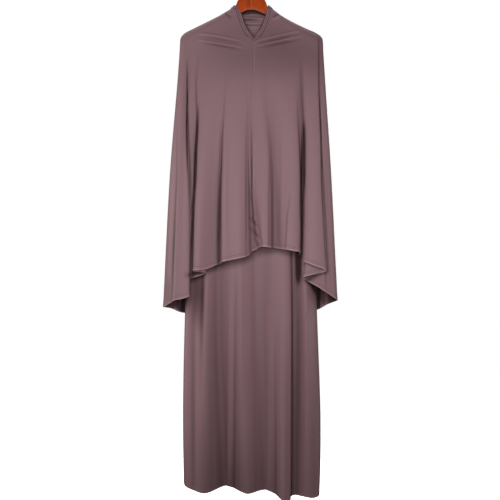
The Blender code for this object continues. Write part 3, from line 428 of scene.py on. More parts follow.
# The hook: one length of plated steel wire, screwed into the top of the wood where its halves meet,
# bent round the rail to an open tip that is rounded off.
HOOK_RADIUS = 0.021
HOOK_WIRE = 0.0018
HOOK_TIP_ANGLE = 205
HOOK_SHANK = 0.006
HOOK_SHANK_ANGLE = -52
HOOK_PARTS = 48
HOOK_TIP_ROUND = 0.0008
HOOK_ROUNDNESS = 5
HOOK_SHANK_STEPS = [3, 8]
HOOK_SMOOTH_BELOW = math.radians(50)
SAME_PLACE = 0.00001
HANDLING_SCALE = 90.0
STEEL_GREY = (0.46, 0.45, 0.44, 1.0)
STEEL_BRIGHT = (0.68, 0.68, 0.69, 1.0)

wire_radius = HOOK_RADIUS + HOOK_WIRE
wood_top = HANGER_NECK[0].top
hook_points = [(0.0, 0.0, wood_top + SEAM_GAP), (0.0, 0.0, wood_top + HOOK_SHANK)]
for i in range(HOOK_PARTS + 1):
    angle = math.radians(HOOK_SHANK_ANGLE + (HOOK_TIP_ANGLE - HOOK_SHANK_ANGLE) * i / HOOK_PARTS)
    hook_points.append((wire_radius * math.cos(angle), 0.0, -HOOK_RADIUS + wire_radius * math.sin(angle)))
hook_path = smooth(hook_points, HOOK_SHANK_STEPS + [1] * HOOK_PARTS)
wire = bpy.data.curves.new("hanger_hook_wire", "CURVE")
wire.dimensions = "3D"
wire.bevel_depth = HOOK_WIRE
wire.bevel_resolution = HOOK_ROUNDNESS
wire.use_fill_caps = True
line = wire.splines.new("POLY")
line.points.add(len(hook_path) - 1)
for point, spot in zip(line.points, hook_path):
    point.co = (*spot, 1.0)
hook = bpy.data.objects.new("hanger_hook_wire", wire)
bpy.context.scene.collection.objects.link(hook)
hook.select_set(True)
bpy.context.view_layer.objects.active = hook
bpy.ops.object.convert(target="MESH")
hook = bpy.context.object
bpy.ops.object.mode_set(mode="EDIT")
bpy.ops.mesh.select_all(action="SELECT")
bpy.ops.mesh.remove_doubles(threshold=SAME_PLACE)
bpy.ops.mesh.normals_make_consistent(inside=False)
settle_piece(hook, "hanger_hook_wire")
rounding = hook.modifiers.new("rounded_tip", "BEVEL")
rounding.width = HOOK_TIP_ROUND
rounding.segments = 3
rounding.limit_method = "ANGLE"
rounding.angle_limit = SHARP_EDGE
apply_all(hook)
bpy.ops.object.shade_smooth_by_angle(angle=HOOK_SMOOTH_BELOW)

plated_steel, shader, paint = new_finish("plated_steel")
shader.inputs["Metallic"].default_value = 1.0
place = paint.node("ShaderNodeTexCoord", out="Object")
handling = noise(place, HANDLING_SCALE, 5.0)
steel_stops = {"stops": [(0.35, STEEL_GREY), (0.65, STEEL_BRIGHT)]}
feed(place.node("ShaderNodeValToRGB", steel_stops, {"Fac": handling}), shader, "Base Color")
feed(0.16 + handling * 0.18, shader, "Roughness")
hook.data.materials.clear()
hook.data.materials.append(plated_steel)
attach(hook, "root")
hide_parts("hanger_hook")

# The dress's front and back: smooth, softly shiny jersey with a fine knit, cut full length and sewn at
# the shoulders and sides. It falls over the wood into long soft folds, to a narrow turned hem.
SHELL = 0.0009
HEM_THICK = 0.0017
HEM_WIDTH = 0.0110
DRESS_SKIN = 0.0019
DRESS_HANG_DEPTH = 0.0208
HANG_DROP = 0.12
KNEE_Z = -1.000
DRESS_NECK_Z = -0.222
UNDERARM_Z = -0.435
CROWN_Z = -0.2000
UNDERARM_X = 0.1700
NAPE_FADE = 0.08
DRESS_NAPE_DIP = 0.004
SIDE_ROUND_FROM = 0.88
SIDE_BOW = {-1: 0.003, 1: 0.006}
SIDE_BOW_LOW = 1.6
DRESS_ABOVE_Z = [-0.1165, -0.1230, -0.1330, -0.1500, -0.1700, -0.1870, -0.1950]
DRESS_ARMHOLE_Z = [CROWN_Z, -0.2090, DRESS_NECK_Z, -0.2700, -0.3250, -0.3850, -0.4120, -0.4270, UNDERARM_Z]
DRESS_YOKE_Z = DRESS_ABOVE_Z + DRESS_ARMHOLE_Z
Opening = namedtuple("Opening", "z half")
DRESS_NECK = [
    Opening(-0.1165, 0.0560),
    Opening(-0.1300, 0.0565),
    Opening(-0.1500, 0.0550),
    Opening(-0.1700, 0.0505),
    Opening(-0.1905, 0.0390),
    Opening(DRESS_NECK_Z, 0.0150),
]
TENTHS = 10000
LongFold = namedtuple("LongFold", "knee_x knee_y hem_x hem_y hem_z")


def folds(kind, *rows):
    """Rows of a table of folds, written in tenths of a millimetre, as lengths in metres."""
    return [kind(*(length / TENTHS for length in row)) for row in rows]


DRESS_FRONT = folds(
    LongFold,
    (-1985, 0, -2030, 0, -15330),
    (-1920, -140, -1960, -220, -15370),
    (-1720, -260, -1720, -460, -15420),
    (-1330, -460, -1360, -660, -15460),
    (-1000, -280, -760, -300, -15330),
    (-640, -400, -500, -470, -15370),
    (-310, -440, -130, -710, -15460),
    (-80, -370, 30, -650, -15450),
    (120, -280, 210, -500, -15430),
    (360, -300, 440, -380, -15430),
    (640, -420, 700, -620, -15500),
    (980, -500, 950, -900, -15620),
    (1160, -440, 1110, -800, -15625),
    (1225, -280, 1170, -440, -15610),
    (1320, -270, 1270, -360, -15590),
    (1570, -440, 1540, -570, -15580),
    (1730, -370, 1760, -570, -15620),
    (1890, -160, 1970, -260, -15660),
    (1955, 0, 2035, 0, -15670),
)
DRESS_BACK = folds(
    LongFold,
    (1955, 0, 2035, 0, -15670),
    (1890, 150, 1970, 220, -15660),
    (1660, 300, 1700, 520, -15620),
    (1360, 220, 1380, 320, -15570),
    (1000, 360, 1020, 620, -15550),
    (660, 260, 700, 360, -15500),
    (300, 380, 300, 660, -15490),
    (-60, 260, -40, 380, -15450),
    (-440, 370, -480, 640, -15460),
    (-820, 250, -840, 360, -15410),
    (-1180, 360, -1220, 580, -15410),
    (-1500, 240, -1540, 340, -15370),
    (-1760, 280, -1800, 440, -15360),
    (-1930, 140, -1970, 200, -15340),
    (-1985, 0, -2030, 0, -15330),
)
DRESS_FRONT_STEPS = 8
DRESS_BACK_STEPS = 9
DRESS_YOKE_STEPS = 6
DRESS_UPPER_STEPS = 80
DRESS_LOWER_STEPS = 105
NECK_EASE = 0.05
CLOSING_POWER = 0.25
HEM_ROWS = [0.0160, 0.0128, 0.0113, 0.0102, 0.0075, 0.0045, 0.0018, 0.0]


def half_width(side, z, inset):
    """Distance from the middle to the outline at height z."""
    points = outline_points(side, inset)[1:]
    return float(np.interp(-z, -points[:, 1], np.abs(points[:, 0])))


def distance_inside(x, z, inset):
    """Distance from each point (x, z) to the outline, seen from the front."""
    nearest = np.full(np.shape(x), np.inf)
    for side in (-1, 1):
        points = outline_points(side, inset)
        for start, end in zip(points[:-1], points[1:]):
            run = end - start
            t = ((x - start[0]) * run[0] + (z - start[1]) * run[1]) / (run @ run)
            t = np.clip(t, 0.0, 1.0)
            gap = np.hypot(x - start[0] - t * run[0], z - start[1] - t * run[1])
            nearest = np.minimum(nearest, gap)
    return nearest


def hang_depth(x, z, skin, hang, inset):
    """Distance forward or back of cloth that falls over the hanger: a round top, then a plumb wall."""
    x = np.asarray(x, dtype=float)
    below = distance_inside(x, z, inset)
    settle = ease(below / HANG_DROP)
    depth = (hanger_half(x) + skin) * (1 - settle) + hang * settle
    turn = 1 - np.clip(below / depth, 0.0, 1.0)
    return depth * np.sqrt(np.maximum(1 - turn * turn, 0.0))


def dress_depth(x, z):
    return hang_depth(x, z, DRESS_SKIN, DRESS_HANG_DEPTH, CAPE_SKIN - DRESS_SKIN)


def finer(levels, steps):
    """Heights between the given ones, with the given ones kept exactly."""
    out = []
    for high, low in zip(levels[:-1], levels[1:]):
        out += [high + (low - high) * step / steps for step in range(steps)]
    return out + [levels[-1]]


def plan_curve(rows, fields, z, steps, side=1):
    """A smooth plan curve through one level of a table of folds."""
    out_name, y_name = fields
    points = [
        (side * getattr(row, out_name), getattr(row, y_name), row.hem_z if z is None else z) for row in rows
    ]
    return smooth(points, [steps] * (len(rows) - 1))


def reach_along(points):
    """Distance along the points from the first one, down their first axis."""
    steps = np.linalg.norm(np.diff(points, axis=0), axis=-1)
    return np.concatenate([np.zeros_like(steps[:1]), np.cumsum(steps, axis=0)])


def close_at_hem(points, hollow=None):
    """The same columns of cloth, with rows close together over the turned hem."""
    if hollow is None:
        hollow = np.zeros(points.shape[:2])
    held = np.concatenate([points, hollow[..., None]], axis=2)
    reach = reach_along(points)
    out = []
    for column in range(points.shape[1]):
        along = reach[:, column]
        above = along[:-1] / along[-2] * (along[-1] - HEM_ROWS[0])
        at = np.concatenate([above, along[-1] - np.array(HEM_ROWS[1:])])
        out.append(np.stack([np.interp(at, along, held[:, column, part]) for part in range(4)], axis=1))
    held = np.stack(out, axis=1)
    return held[..., :3], held[..., 3]


def normals_of(points):
    """Unit normals of a grid of points, square to its rows and columns."""
    return unit(np.cross(np.gradient(points, axis=0), np.gradient(points, axis=1)))


# A crease's shade is painted shade in the cloth's colour along its path; a negative shade takes painted shade
# away, as a painted highlight.
Crease = namedtuple("Crease", "path width height shade")
HOLLOW_REACH = 8
HOLLOW_DEPTH = 0.007
HOLLOW_SHADE = 0.34
PRESSED_FROM = 0.2
PRESSED_GAIN = 1.6
SHADED_GAIN = 5.0
CREASE_END = 0.02


def creases(*rows):
    """Rows of width, height, shade and the points (x, z) of a path. Lengths are in tenths of a millimetre."""
    made = []
    for width, height, shade, *path in rows:
        made.append(Crease(np.array(path) / TENTHS, width / TENTHS, height / TENTHS, shade))
    return made


def valley_shade_of(points, face):
    """Painted shade from 0 to HOLLOW_SHADE: the deeper a point lies between the folds on its two sides, the
    darker.
    """
    out = points[..., 1] * face
    wide = np.pad(out, ((0, 0), (HOLLOW_REACH, HOLLOW_REACH)), mode="edge")
    span = 2 * HOLLOW_REACH + 1
    mean = np.stack([np.convolve(row, np.ones(span) / span, mode="valid") for row in wide])
    return np.clip((mean - out) / HOLLOW_DEPTH, 0.0, 1.0) * HOLLOW_SHADE


def press_creases(points, lines, face):
    """Raise or press creases into cloth along their paths. Returns its points and the painted shade at each,
    0 to 1.
    """
    outward = normals_of(points)
    facing = outward[..., 1] * face
    pressed = np.clip(facing * PRESSED_GAIN - PRESSED_FROM, 0.0, 1.0)
    shaded = np.clip(facing * SHADED_GAIN, 0.0, 1.0)
    lift = np.zeros(points.shape[:2])
    hollow = valley_shade_of(points, face)
    for crease in lines:
        path = crease.path
        lengths = np.linalg.norm(np.diff(path, axis=0), axis=1)
        starts = reach_along(path)
        best = np.full(points.shape[:2], np.inf)
        fade = np.zeros(points.shape[:2])
        for i in range(len(path) - 1):
            run = path[i + 1] - path[i]
            to_x = points[..., 0] - path[i][0]
            to_z = points[..., 2] - path[i][1]
            t = np.clip((to_x * run[0] + to_z * run[1]) / (run @ run), 0.0, 1.0)
            gap = np.hypot(to_x - t * run[0], to_z - t * run[1])
            share = (starts[i] + t * lengths[i]) / starts[-1]
            nearer = gap < best
            best = np.where(nearer, gap, best)
            fade = np.where(nearer, np.sin(np.pi * (CREASE_END + (1 - 2 * CREASE_END) * share)), fade)
        profile = np.exp(-((best / crease.width) ** 2)) * fade
        lift += crease.height * profile
        hollow = hollow + crease.shade * profile * (shaded if crease.height else 1.0)
    return points + outward * (lift * pressed)[..., None], np.clip(hollow, 0.0, 1.0)


def make_cloth(name, points, hollow=None, cut=None, closed=False, hemmed=True, thick=SHELL):
    """A thin shell through a grid of points, thicker over its turned hem, with a UV map in metres.

    The map's v is the distance up from the lower edge. Painted shade darkens the cloth's colour, and cut
    leaves faces out.
    """
    rows, columns = points.shape[:2]
    ring = np.concatenate([points, points[:, :1]], axis=1) if closed else points
    u = reach_along(ring.swapaxes(0, 1)).T
    v = reach_along(ring[::-1])[::-1]
    index = np.arange(rows * columns).reshape(rows, columns)
    if closed:
        index = np.concatenate([index, index[:, :1]], axis=1)

    def corners(grid):
        return np.stack([grid[:-1, :-1], grid[1:, :-1], grid[1:, 1:], grid[:-1, 1:]], axis=2)

    keep = np.ones((index.shape[0] - 1, index.shape[1] - 1), dtype=bool) if cut is None else ~cut
    faces = corners(index)[keep]
    used, renumbered = np.unique(faces, return_inverse=True)
    mesh = bpy.data.meshes.new(name)
    mesh.from_pydata(points.reshape(-1, 3)[used].tolist(), [], renumbered.reshape(-1, 4).tolist())
    layer = mesh.uv_layers.new(name="cloth")
    layer.data.foreach_set("uv", np.stack([corners(u)[keep], corners(v)[keep]], axis=-1).ravel())
    # The painted shade at each point, kept on the mesh for the material.
    depth = np.zeros(points.shape[:2]) if hollow is None else hollow
    shade = mesh.attributes.new("hollow", "FLOAT", "POINT")
    shade.data.foreach_set("value", depth.reshape(-1)[used].astype(np.float32))
    piece = bpy.data.objects.new(name, mesh)
    bpy.context.scene.collection.objects.link(piece)
    shell = piece.modifiers.new("thickness", "SOLIDIFY")
    shell.thickness = thick
    shell.offset = 0.0
    if hemmed:
        height = v[:, :columns].reshape(-1)[used]
        turned = piece.vertex_groups.new(name="turned_hem")
        turned.add(np.flatnonzero(height < HEM_WIDTH).tolist(), 1.0, "REPLACE")
        shell.thickness = HEM_THICK
        shell.vertex_group = "turned_hem"
        shell.thickness_vertex_group = thick / HEM_THICK
    apply_all(piece)
    piece.data.shade_smooth()
    return piece


def armhole_slant(z):
    """1 at the armhole's crown, -1 at the underarm."""
    middle = (CROWN_Z + UNDERARM_Z) / 2
    return np.clip((z - middle) / (CROWN_Z - middle), -1.0, 1.0)


def closing(slant):
    """How far the front and the back still stand apart, on the way down to the underarm."""
    return np.maximum(1 - np.minimum(slant, 0.0) ** 2, 0.0) ** CLOSING_POWER


def dress_rows(table, steps, face):
    """Middle points of the dress's front (face -1) or back (face 1), in the table's order."""
    knee = plan_curve(table, ("knee_x", "knee_y"), KNEE_Z, steps)
    hem = plan_curve(table, ("hem_x", "hem_y"), None, steps)
    ends = np.where(knee[:, 0] < 0, -min(knee[0, 0], knee[-1, 0]), max(knee[0, 0], knee[-1, 0]))
    share = knee[:, 0] / ends
    middle = int(np.argmin(np.abs(share)))
    sides = np.where(np.arange(len(share)) < middle, -1, 1) * (-face)
    start = np.where(sides < 0, abs(share[middle - 1]), abs(share[middle + 1]))
    levels = []
    for z in finer(DRESS_YOKE_Z, DRESS_YOKE_STEPS):
        slant = float(armhole_slant(z))
        crown = [half_width(side, CROWN_Z, CAPE_SKIN - DRESS_SKIN) for side in (-1, 1)]
        if z > CROWN_Z:
            edge = [half_width(side, z, CAPE_SKIN - DRESS_SKIN) for side in (-1, 1)]
        else:
            edge = [UNDERARM_X + (x - UNDERARM_X) * (1 + slant) / 2 for x in crown]
        widths = np.where(sides < 0, edge[0], edge[1])
        x = share * widths
        if face < 0:
            neck = np.interp(-z, [-row.z for row in DRESS_NECK], [row.half for row in DRESS_NECK])
            opened = float(ease((z - DRESS_NECK_Z) / NECK_EASE + 1))
            part = np.maximum(np.abs(share) - start * opened, 0.0) / (1 - start * opened)
            x = sides * (neck * opened + (widths - neck * opened) * part)
            x[middle] = 0.0
        dip = DRESS_NAPE_DIP * (1 - share**4) * (1 - ease((DRESS_YOKE_Z[0] - z) / NAPE_FADE))
        heights = z - dip * (face > 0)
        y = face * dress_depth(x, heights)
        if z < CROWN_Z:
            apart = float(closing(slant))
            near = np.clip((np.abs(share) - SIDE_ROUND_FROM) / (1 - SIDE_ROUND_FROM), 0.0, 1.0)
            y = y * (apart + (1 - apart) * np.sqrt(1 - near**2))
        levels.append(np.stack([x, y, heights], axis=1))
    fall = smooth([levels[-1], knee, hem], [DRESS_UPPER_STEPS, DRESS_LOWER_STEPS])
    points = np.concatenate([np.array(levels[:-1]), fall])
    below_knee = np.clip((KNEE_Z - points[..., 2]) / (KNEE_Z - hem[:, 2]), 0.0, 1.0)
    bow = np.where(points[..., 0] < 0, -SIDE_BOW[-1], SIDE_BOW[1])
    points[..., 0] += bow * np.sin(np.pi * below_knee**SIDE_BOW_LOW) * np.abs(share) ** 4
    return points, middle


dress_front, dress_middle = dress_rows(DRESS_FRONT, DRESS_FRONT_STEPS, -1)
dress_back, _ = dress_rows(DRESS_BACK, DRESS_BACK_STEPS, 1)
dress_heights = finer(DRESS_YOKE_Z, DRESS_YOKE_STEPS)
crown_row = dress_heights.index(CROWN_Z)
underarm_row = dress_heights.index(UNDERARM_Z)
neck_row = dress_heights.index(DRESS_NECK_Z)
shut = list(range(crown_row + 1)) + list(range(underarm_row, len(dress_front)))
dress_back[shut, 0] = dress_front[shut, -1]
dress_back[shut, -1] = dress_front[shut, 0]

# Creases of the dress, seen from the front: width, height and shade, then the path. Thin ridges and grooves
# run between its long folds. The shade is painted shade; rows of height 0 paint it alone, as shadow under the
# cape's hem, in the slot and the recess beside the cape's corners, and darker towards the bottom, and
# negative shade takes it off ridges as painted highlight. Its back sags behind the neck in level folds, below
# a painted shadow of the wood, and creases lower down.
DRESS_CREASES = creases(
    (36, -30, 0.40, (-1450, -8300), (-1448, -9600), (-1480, -12500)),
    (44, 30, -0.35, (-1330, -8300), (-1365, -9900), (-1390, -13500)),
    (190, 0, 0.50, (-1600, -8300), (-1600, -9400), (-1600, -10800)),
    (70, 0, 0.30, (-1460, -8300), (-1460, -9600), (-1470, -11500)),
    (140, 0, 0.16, (-1180, -8800), (-1180, -11500), (-1200, -16500)),
    (55, 36, -0.45, (-655, -9200), (-668, -12500), (-680, -17500)),
    (32, -30, 0.46, (-470, -8600), (-500, -12000), (-560, -18000)),
    (55, 24, 0.0, (-325, -8300), (-320, -12000), (-310, -16500)),
    (85, 40, -0.50, (500, -9600), (505, -13000), (510, -17500)),
    (42, -28, 0.26, (690, -10500), (690, -13500), (680, -18000)),
    (50, 26, 0.0, (870, -9800), (870, -12500), (870, -16500)),
    (80, -10, 0.24, (1050, -10500), (1050, -13500), (1040, -17500)),
    (40, -50, 0.52, (1262, -7800), (1190, -12956), (1120, -17500)),
    (90, -15, 0.30, (1320, -7800), (1300, -12000), (1250, -17500)),
    (70, -10, 0.20, (1440, -7900), (1420, -11500), (1380, -16500)),
    (50, 24, 0.0, (1620, -8400), (1620, -12000), (1610, -16500)),
    (76, 0, 2.10, (1410, -7900), (1398, -8700), (1395, -9420)),
    (60, 0, 1.20, (1550, -9150), (1780, -9350), (1960, -9700)),
    (75, 0, 0.45, (-2100, -9300), (-1400, -9020), (-900, -8750), (-100, -8620)),
    (75, 0, 0.32, (-600, -8720), (50, -8560), (350, -8360), (1000, -8400), (1700, -8520)),
    (70, -16, 0.36, (-1700, -9800), (-1710, -12500), (-1720, -16500)),
    (120, 0, 0.24, (1850, -10800), (1830, -13500), (1800, -17500)),
    (1700, 0, 0.28, (-3200, -15600), (-1500, -15600), (1000, -15600)),
    (160, 0, 0.12, (180, -9200), (200, -12500), (220, -17000)),
)
BACK_SAGS = creases(
    (40, 0, 3.00, (-400, -1240), (10, -1172), (220, -1192), (430, -1270)),
    (34, 0, 0.42, (-600, -1290), (40, -1292), (600, -1300)),
    (22, -60, -0.60, (-600, -1350), (40, -1356), (600, -1366)),
    (18, 30, 1.20, (-600, -1392), (-50, -1400), (360, -1408)),
    (14, -20, -0.40, (100, -1390), (280, -1393), (600, -1400)),
    (28, 0, 0.16, (-550, -1440), (40, -1450), (550, -1446)),
    (22, -36, -0.35, (-550, -1500), (40, -1508), (550, -1500)),
    (17, 28, 0.95, (-500, -1542), (40, -1551), (500, -1546)),
    (20, -14, 0.0, (-450, -1580), (40, -1590), (450, -1580)),
    (150, 0, 0.26, (-600, -1780), (40, -1790), (600, -1780)),
)
DRESS_BACK_CREASES = creases(
    (60, -40, 0.45, (-1500, -9800), (-1480, -12000), (-1540, -15200)),
    (55, 28, 0.0, (-1180, -10100), (-1200, -11800), (-1160, -13600)),
    (48, -36, 0.50, (-760, -9900), (-720, -12600), (-740, -16000)),
    (70, -22, 0.25, (-330, -10500), (-350, -12000), (-320, -13300)),
    (50, 30, 0.0, (50, -9900), (90, -13000), (60, -16200)),
    (46, -36, 0.55, (420, -10000), (460, -11700), (430, -14500)),
    (65, -26, 0.30, (860, -10800), (830, -12600), (870, -15600)),
    (50, -40, 0.48, (1210, -9700), (1240, -11600), (1200, -15900)),
    (60, 28, 0.0, (1530, -10200), (1510, -12400), (1550, -14200)),
)
dress_front, dress_front_shade = press_creases(dress_front, DRESS_CREASES, -1)
dress_back_form = press_creases(dress_back, BACK_SAGS + DRESS_BACK_CREASES, 1)

dress_front_hemmed, dress_front_shade = close_at_hem(dress_front, dress_front_shade)
neck_cut = np.zeros((dress_front_hemmed.shape[0] - 1, dress_front_hemmed.shape[1] - 1), dtype=bool)
neck_cut[:neck_row, dress_middle - 1 : dress_middle + 1] = True
dress_front_cloth = make_cloth("abaya_front_cloth", dress_front_hemmed, dress_front_shade, cut=neck_cut)
dress_back_cloth = make_cloth("abaya_back_cloth", *close_at_hem(*dress_back_form))

MAUVE = (0.231, 0.130, 0.148, 1.0)
MAUVE_WARM = (0.249, 0.144, 0.157, 1.0)
MAUVE_DEEP = (0.185, 0.099, 0.112, 1.0)
# Painted highlight: the light colour along the lower edge of each turned hem.
MAUVE_HEM_HIGHLIGHT = (0.500, 0.320, 0.320, 1.0)
STITCH_DARK = (0.050, 0.024, 0.028, 1.0)
# Painted shade: the colour the cloth darkens towards in the valleys between its folds, and how far.
VALLEY_SHADE = (0.020, 0.0055, 0.0065, 1.0)
VALLEY_SHADE_SHARE = 0.94
SHEEN_TINT = (0.86, 0.74, 0.76, 1.0)
DYE_CLOUDS = 5.0
FUZZ_SCALE = 900.0
FUZZ_FROM = 0.35
KNIT_WALE = 0.0011
KNIT_COURSE = 0.0008
KNIT_DEPTH = 0.00012
WALE_SHARE = 0.7
STITCH_LINE = 0.0115
STITCH_HALF_WIDTH = 0.0007
STITCH_LENGTH = 0.0032
STITCH_DEPTH = 0.0006
STITCH_GAIN = 9.0
THREAD_SHARE = 0.65
THREAD_RISE = 0.3
# How far up from the lower edge the painted highlight reaches, and how it fades.
HEM_HIGHLIGHT_EDGE = 0.0030
HEM_HIGHLIGHT_FROM = 1.4
HEM_HIGHLIGHT_SHARE = 0.62


def ridge_wave(value, period):
    """A wave from 0 to 1 along a value in metres."""
    return value.maths("SINE", value * (2 * math.pi / period)) * 0.5 + 0.5


def sew(paint, u, v, lines, half):
    """Stitch lines at distances v from an edge: how deep the groove is, and how high the thread in it."""
    gap = paint.maths("FRACT", u / STITCH_LENGTH)
    thread = clamped((0.5 - abs(gap - 0.5)) * STITCH_GAIN)
    total = None
    for at in lines:
        near = clamped(1 - abs(v - at) / half)
        total = near if total is None else total + near
    return total, total * (1 - THREAD_SHARE + THREAD_SHARE * thread)


def jersey(name, lines, half=STITCH_HALF_WIDTH, dark=0.45, edge_highlight=0.0):
    """Jersey with a slight sheen: fine knit, uneven dye, stitch lines, painted shade and a painted hem
    highlight.
    """
    finish, shader, paint = new_finish(name)
    shader.inputs["Specular IOR Level"].default_value = 0.20
    shader.inputs["Sheen Weight"].default_value = 0.06
    shader.inputs["Sheen Roughness"].default_value = 0.45
    shader.inputs["Sheen Tint"].default_value = SHEEN_TINT
    place = paint.node("ShaderNodeTexCoord", out="Object")
    cloth = paint.node("ShaderNodeUVMap", {"uv_map": "cloth"})
    u = paint.node("ShaderNodeSeparateXYZ", sockets={0: cloth}, out="X")
    v = paint.node("ShaderNodeSeparateXYZ", sockets={0: cloth}, out="Y")
    uneven = noise(place, DYE_CLOUDS, 3.0)
    fuzz = noise(place, FUZZ_SCALE, 2.0)
    groove, thread = sew(paint, u, v, lines, half)
    dyed = blended(uneven, MAUVE, MAUVE_WARM)
    fuzzy = blended(clamped(fuzz - FUZZ_FROM) * 0.5, dyed, MAUVE_DEEP)
    sewn = blended(clamped(groove) * dark, fuzzy, STITCH_DARK)
    # Painted highlight along the lower edge, where the turned hem would catch the light.
    highlighted = blended(clamped(HEM_HIGHLIGHT_FROM - v / HEM_HIGHLIGHT_EDGE) * edge_highlight, sewn, MAUVE_HEM_HIGHLIGHT)
    # Painted shade: the colour darkens towards the valley shade colour by the painted shade stored on each
    # point.
    hollow = paint.node("ShaderNodeAttribute", {"attribute_name": "hollow"}, out="Fac")
    feed(blended(clamped(hollow) * VALLEY_SHADE_SHARE, highlighted, VALLEY_SHADE), shader, "Base Color")
    feed(0.50 + uneven * 0.10, shader, "Roughness")
    knit = ridge_wave(u, KNIT_WALE) * WALE_SHARE + ridge_wave(v, KNIT_COURSE) * (1 - WALE_SHARE)
    loops = {"Strength": 0.22, "Distance": KNIT_DEPTH, "Height": knit}
    knitted = paint.node("ShaderNodeBump", sockets=loops, out="Normal")
    raised = 1 - groove + thread * THREAD_RISE
    seams = {"Strength": 0.8, "Distance": STITCH_DEPTH, "Height": raised, "Normal": knitted}
    feed(paint.node("ShaderNodeBump", sockets=seams, out="Normal"), shader, "Normal")
    return finish


hemmed_jersey = jersey("hemmed_jersey", [STITCH_LINE], edge_highlight=HEM_HIGHLIGHT_SHARE)
for piece, node, cut, area in (
    (dress_front_cloth, "abaya_front", (0.62, 1.46), 0.64),
    (dress_back_cloth, "abaya_back", (0.60, 1.46), 0.62),
):
    piece.data.materials.append(hemmed_jersey)
    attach(piece, "root")
    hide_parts(node)

# The sleeves: tubes of the same jersey, set into the armholes, hanging flat inside the cape's sides,
# where nothing of them shows from the front.
SleeveRing = namedtuple("SleeveRing", "x half_x half_y z half_z")
UNDERARM_CLEAR = 0.0026
UNDERARM_CLEAR_FROM = 0.05
UNDERARM_CLEAR_OVER = 0.45
SLEEVE_RINGS = [
    SleeveRing(0.1918, 0.0186, None, -0.3300, 0.1150),
    SleeveRing(0.1945, 0.0180, 0.0235, -0.3750, 0.0850),
    SleeveRing(0.1995, 0.0180, 0.0255, -0.5000, 0.0150),
    SleeveRing(0.2080, 0.0195, 0.0270, -0.6200, 0.0050),
    SleeveRing(0.2150, 0.0190, 0.0290, -0.7700, 0.0000),
]
SLEEVE_STEPS = [6, 8, 14, 12, 16]


def sleeve_grid(side, front, back):
    """A tube from the armhole to the cuff, with a column for each row of the armhole's edge."""
    front_edge = front[crown_row : underarm_row + 1, -1 if side > 0 else 0]
    back_edge = back[crown_row + 1 : underarm_row, 0 if side > 0 else -1]
    edge = np.concatenate([front_edge, back_edge[::-1]])
    face = np.array([-1.0] * len(front_edge) + [1.0] * len(back_edge))
    slant = armhole_slant(edge[:, 2])
    round_y = np.sqrt(1 - slant * slant)
    rings = [edge.copy()]
    rings[0][:, 0] += side * UNDERARM_CLEAR * ease((UNDERARM_CLEAR_FROM - slant) / UNDERARM_CLEAR_OVER)
    for ring in SLEEVE_RINGS:
        x = side * (ring.x + ring.half_x * slant)
        z = ring.z + ring.half_z * slant
        y = dress_depth(x, z) * closing(slant)
        if ring.half_y is not None:
            y = ring.half_y * round_y
        rings.append(np.stack([x, face * y, z], axis=1))
    points = smooth(rings, SLEEVE_STEPS)
    around = unit(np.roll(points[0], -1, axis=0) - np.roll(points[0], 1, axis=0))
    down = points[1] - points[0]
    apart = unit(down - around * np.sum(down * around, axis=1, keepdims=True))
    points[0] += apart * 2 * SEAM_GAP
    return points if side > 0 else points[:, ::-1]


for node, side in (("abaya_sleeve_left", 1), ("abaya_sleeve_right", -1)):
    tube = close_at_hem(sleeve_grid(side, dress_front, dress_back))
    sleeve = make_cloth(node + "_cloth", *tube, closed=True)
    sleeve.data.materials.append(hemmed_jersey)
    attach(sleeve, "root")
    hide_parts(node)

# The neck binding: a narrow folded strip of the jersey round the dress's neckline, stitched through. Behind
# the neck it has a painted shadow, where it passes under the wood.
BINDING_WIDTH = 0.006
BINDING_CLIMB = 0.60
BINDING_CLIMB_FRONT = 0.94
BINDING_CLIMB_CORNER = 0.90
BINDING_STEPS = 4
BINDING_THICK = 0.0015
BINDING_STITCH = 0.0015
BINDING_EVERY = 8
# Painted shadow on the binding under the wood: how dark, and how fast it fades towards the sides.
WOOD_SHADE = 0.88
WOOD_SHADE_FALL = 1.6

left = dress_front[: neck_row + 1, dress_middle + 1][::-1]
right = dress_front[: neck_row + 1, dress_middle - 1]
left_over = dress_front[0, dress_middle + 6 : -1 : BINDING_EVERY]
right_over = dress_front[0, 1 : dress_middle - 5 : BINDING_EVERY]
seam = np.concatenate([left, left_over, dress_back[0, 1:-1], right_over, right])
across = np.clip(np.abs(seam[:, 0]) / DRESS_NECK[0].half, 0.0, 1.0)
down = np.clip((DRESS_NECK[0].z - seam[:, 2]) / (DRESS_NECK[0].z - DRESS_NECK_Z), 0.0, 1.0)
front_climb = BINDING_CLIMB + (BINDING_CLIMB_FRONT - BINDING_CLIMB) * down**2
behind_climb = np.sqrt(1 - np.minimum(across, BINDING_CLIMB_CORNER) ** 4)
climb = np.where(seam[:, 1] > 0, behind_climb, front_climb)
inward = np.stack([-np.sign(seam[:, 0]) * np.sqrt(1 - climb**2), np.zeros_like(climb), climb], axis=1)
strip = smooth([seam + inward * BINDING_WIDTH, seam + inward * 2 * SEAM_GAP], [BINDING_STEPS])
# Painted shadow behind the neck, darkest under the middle of the wood.
out = np.abs(strip[..., 0]) / DRESS_NECK[0].half
wood_shadow = WOOD_SHADE * ease(WOOD_SHADE_FALL * (1 - out)) * (strip[..., 1] > 0)
binding = make_cloth(
    "abaya_neck_binding_cloth", strip, wood_shadow, closed=True, hemmed=False, thick=BINDING_THICK
)
bound_jersey = jersey("bound_jersey", [BINDING_STITCH], dark=0.75)
binding.data.materials.append(bound_jersey)
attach(binding, "root")
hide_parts("abaya_neck_binding")

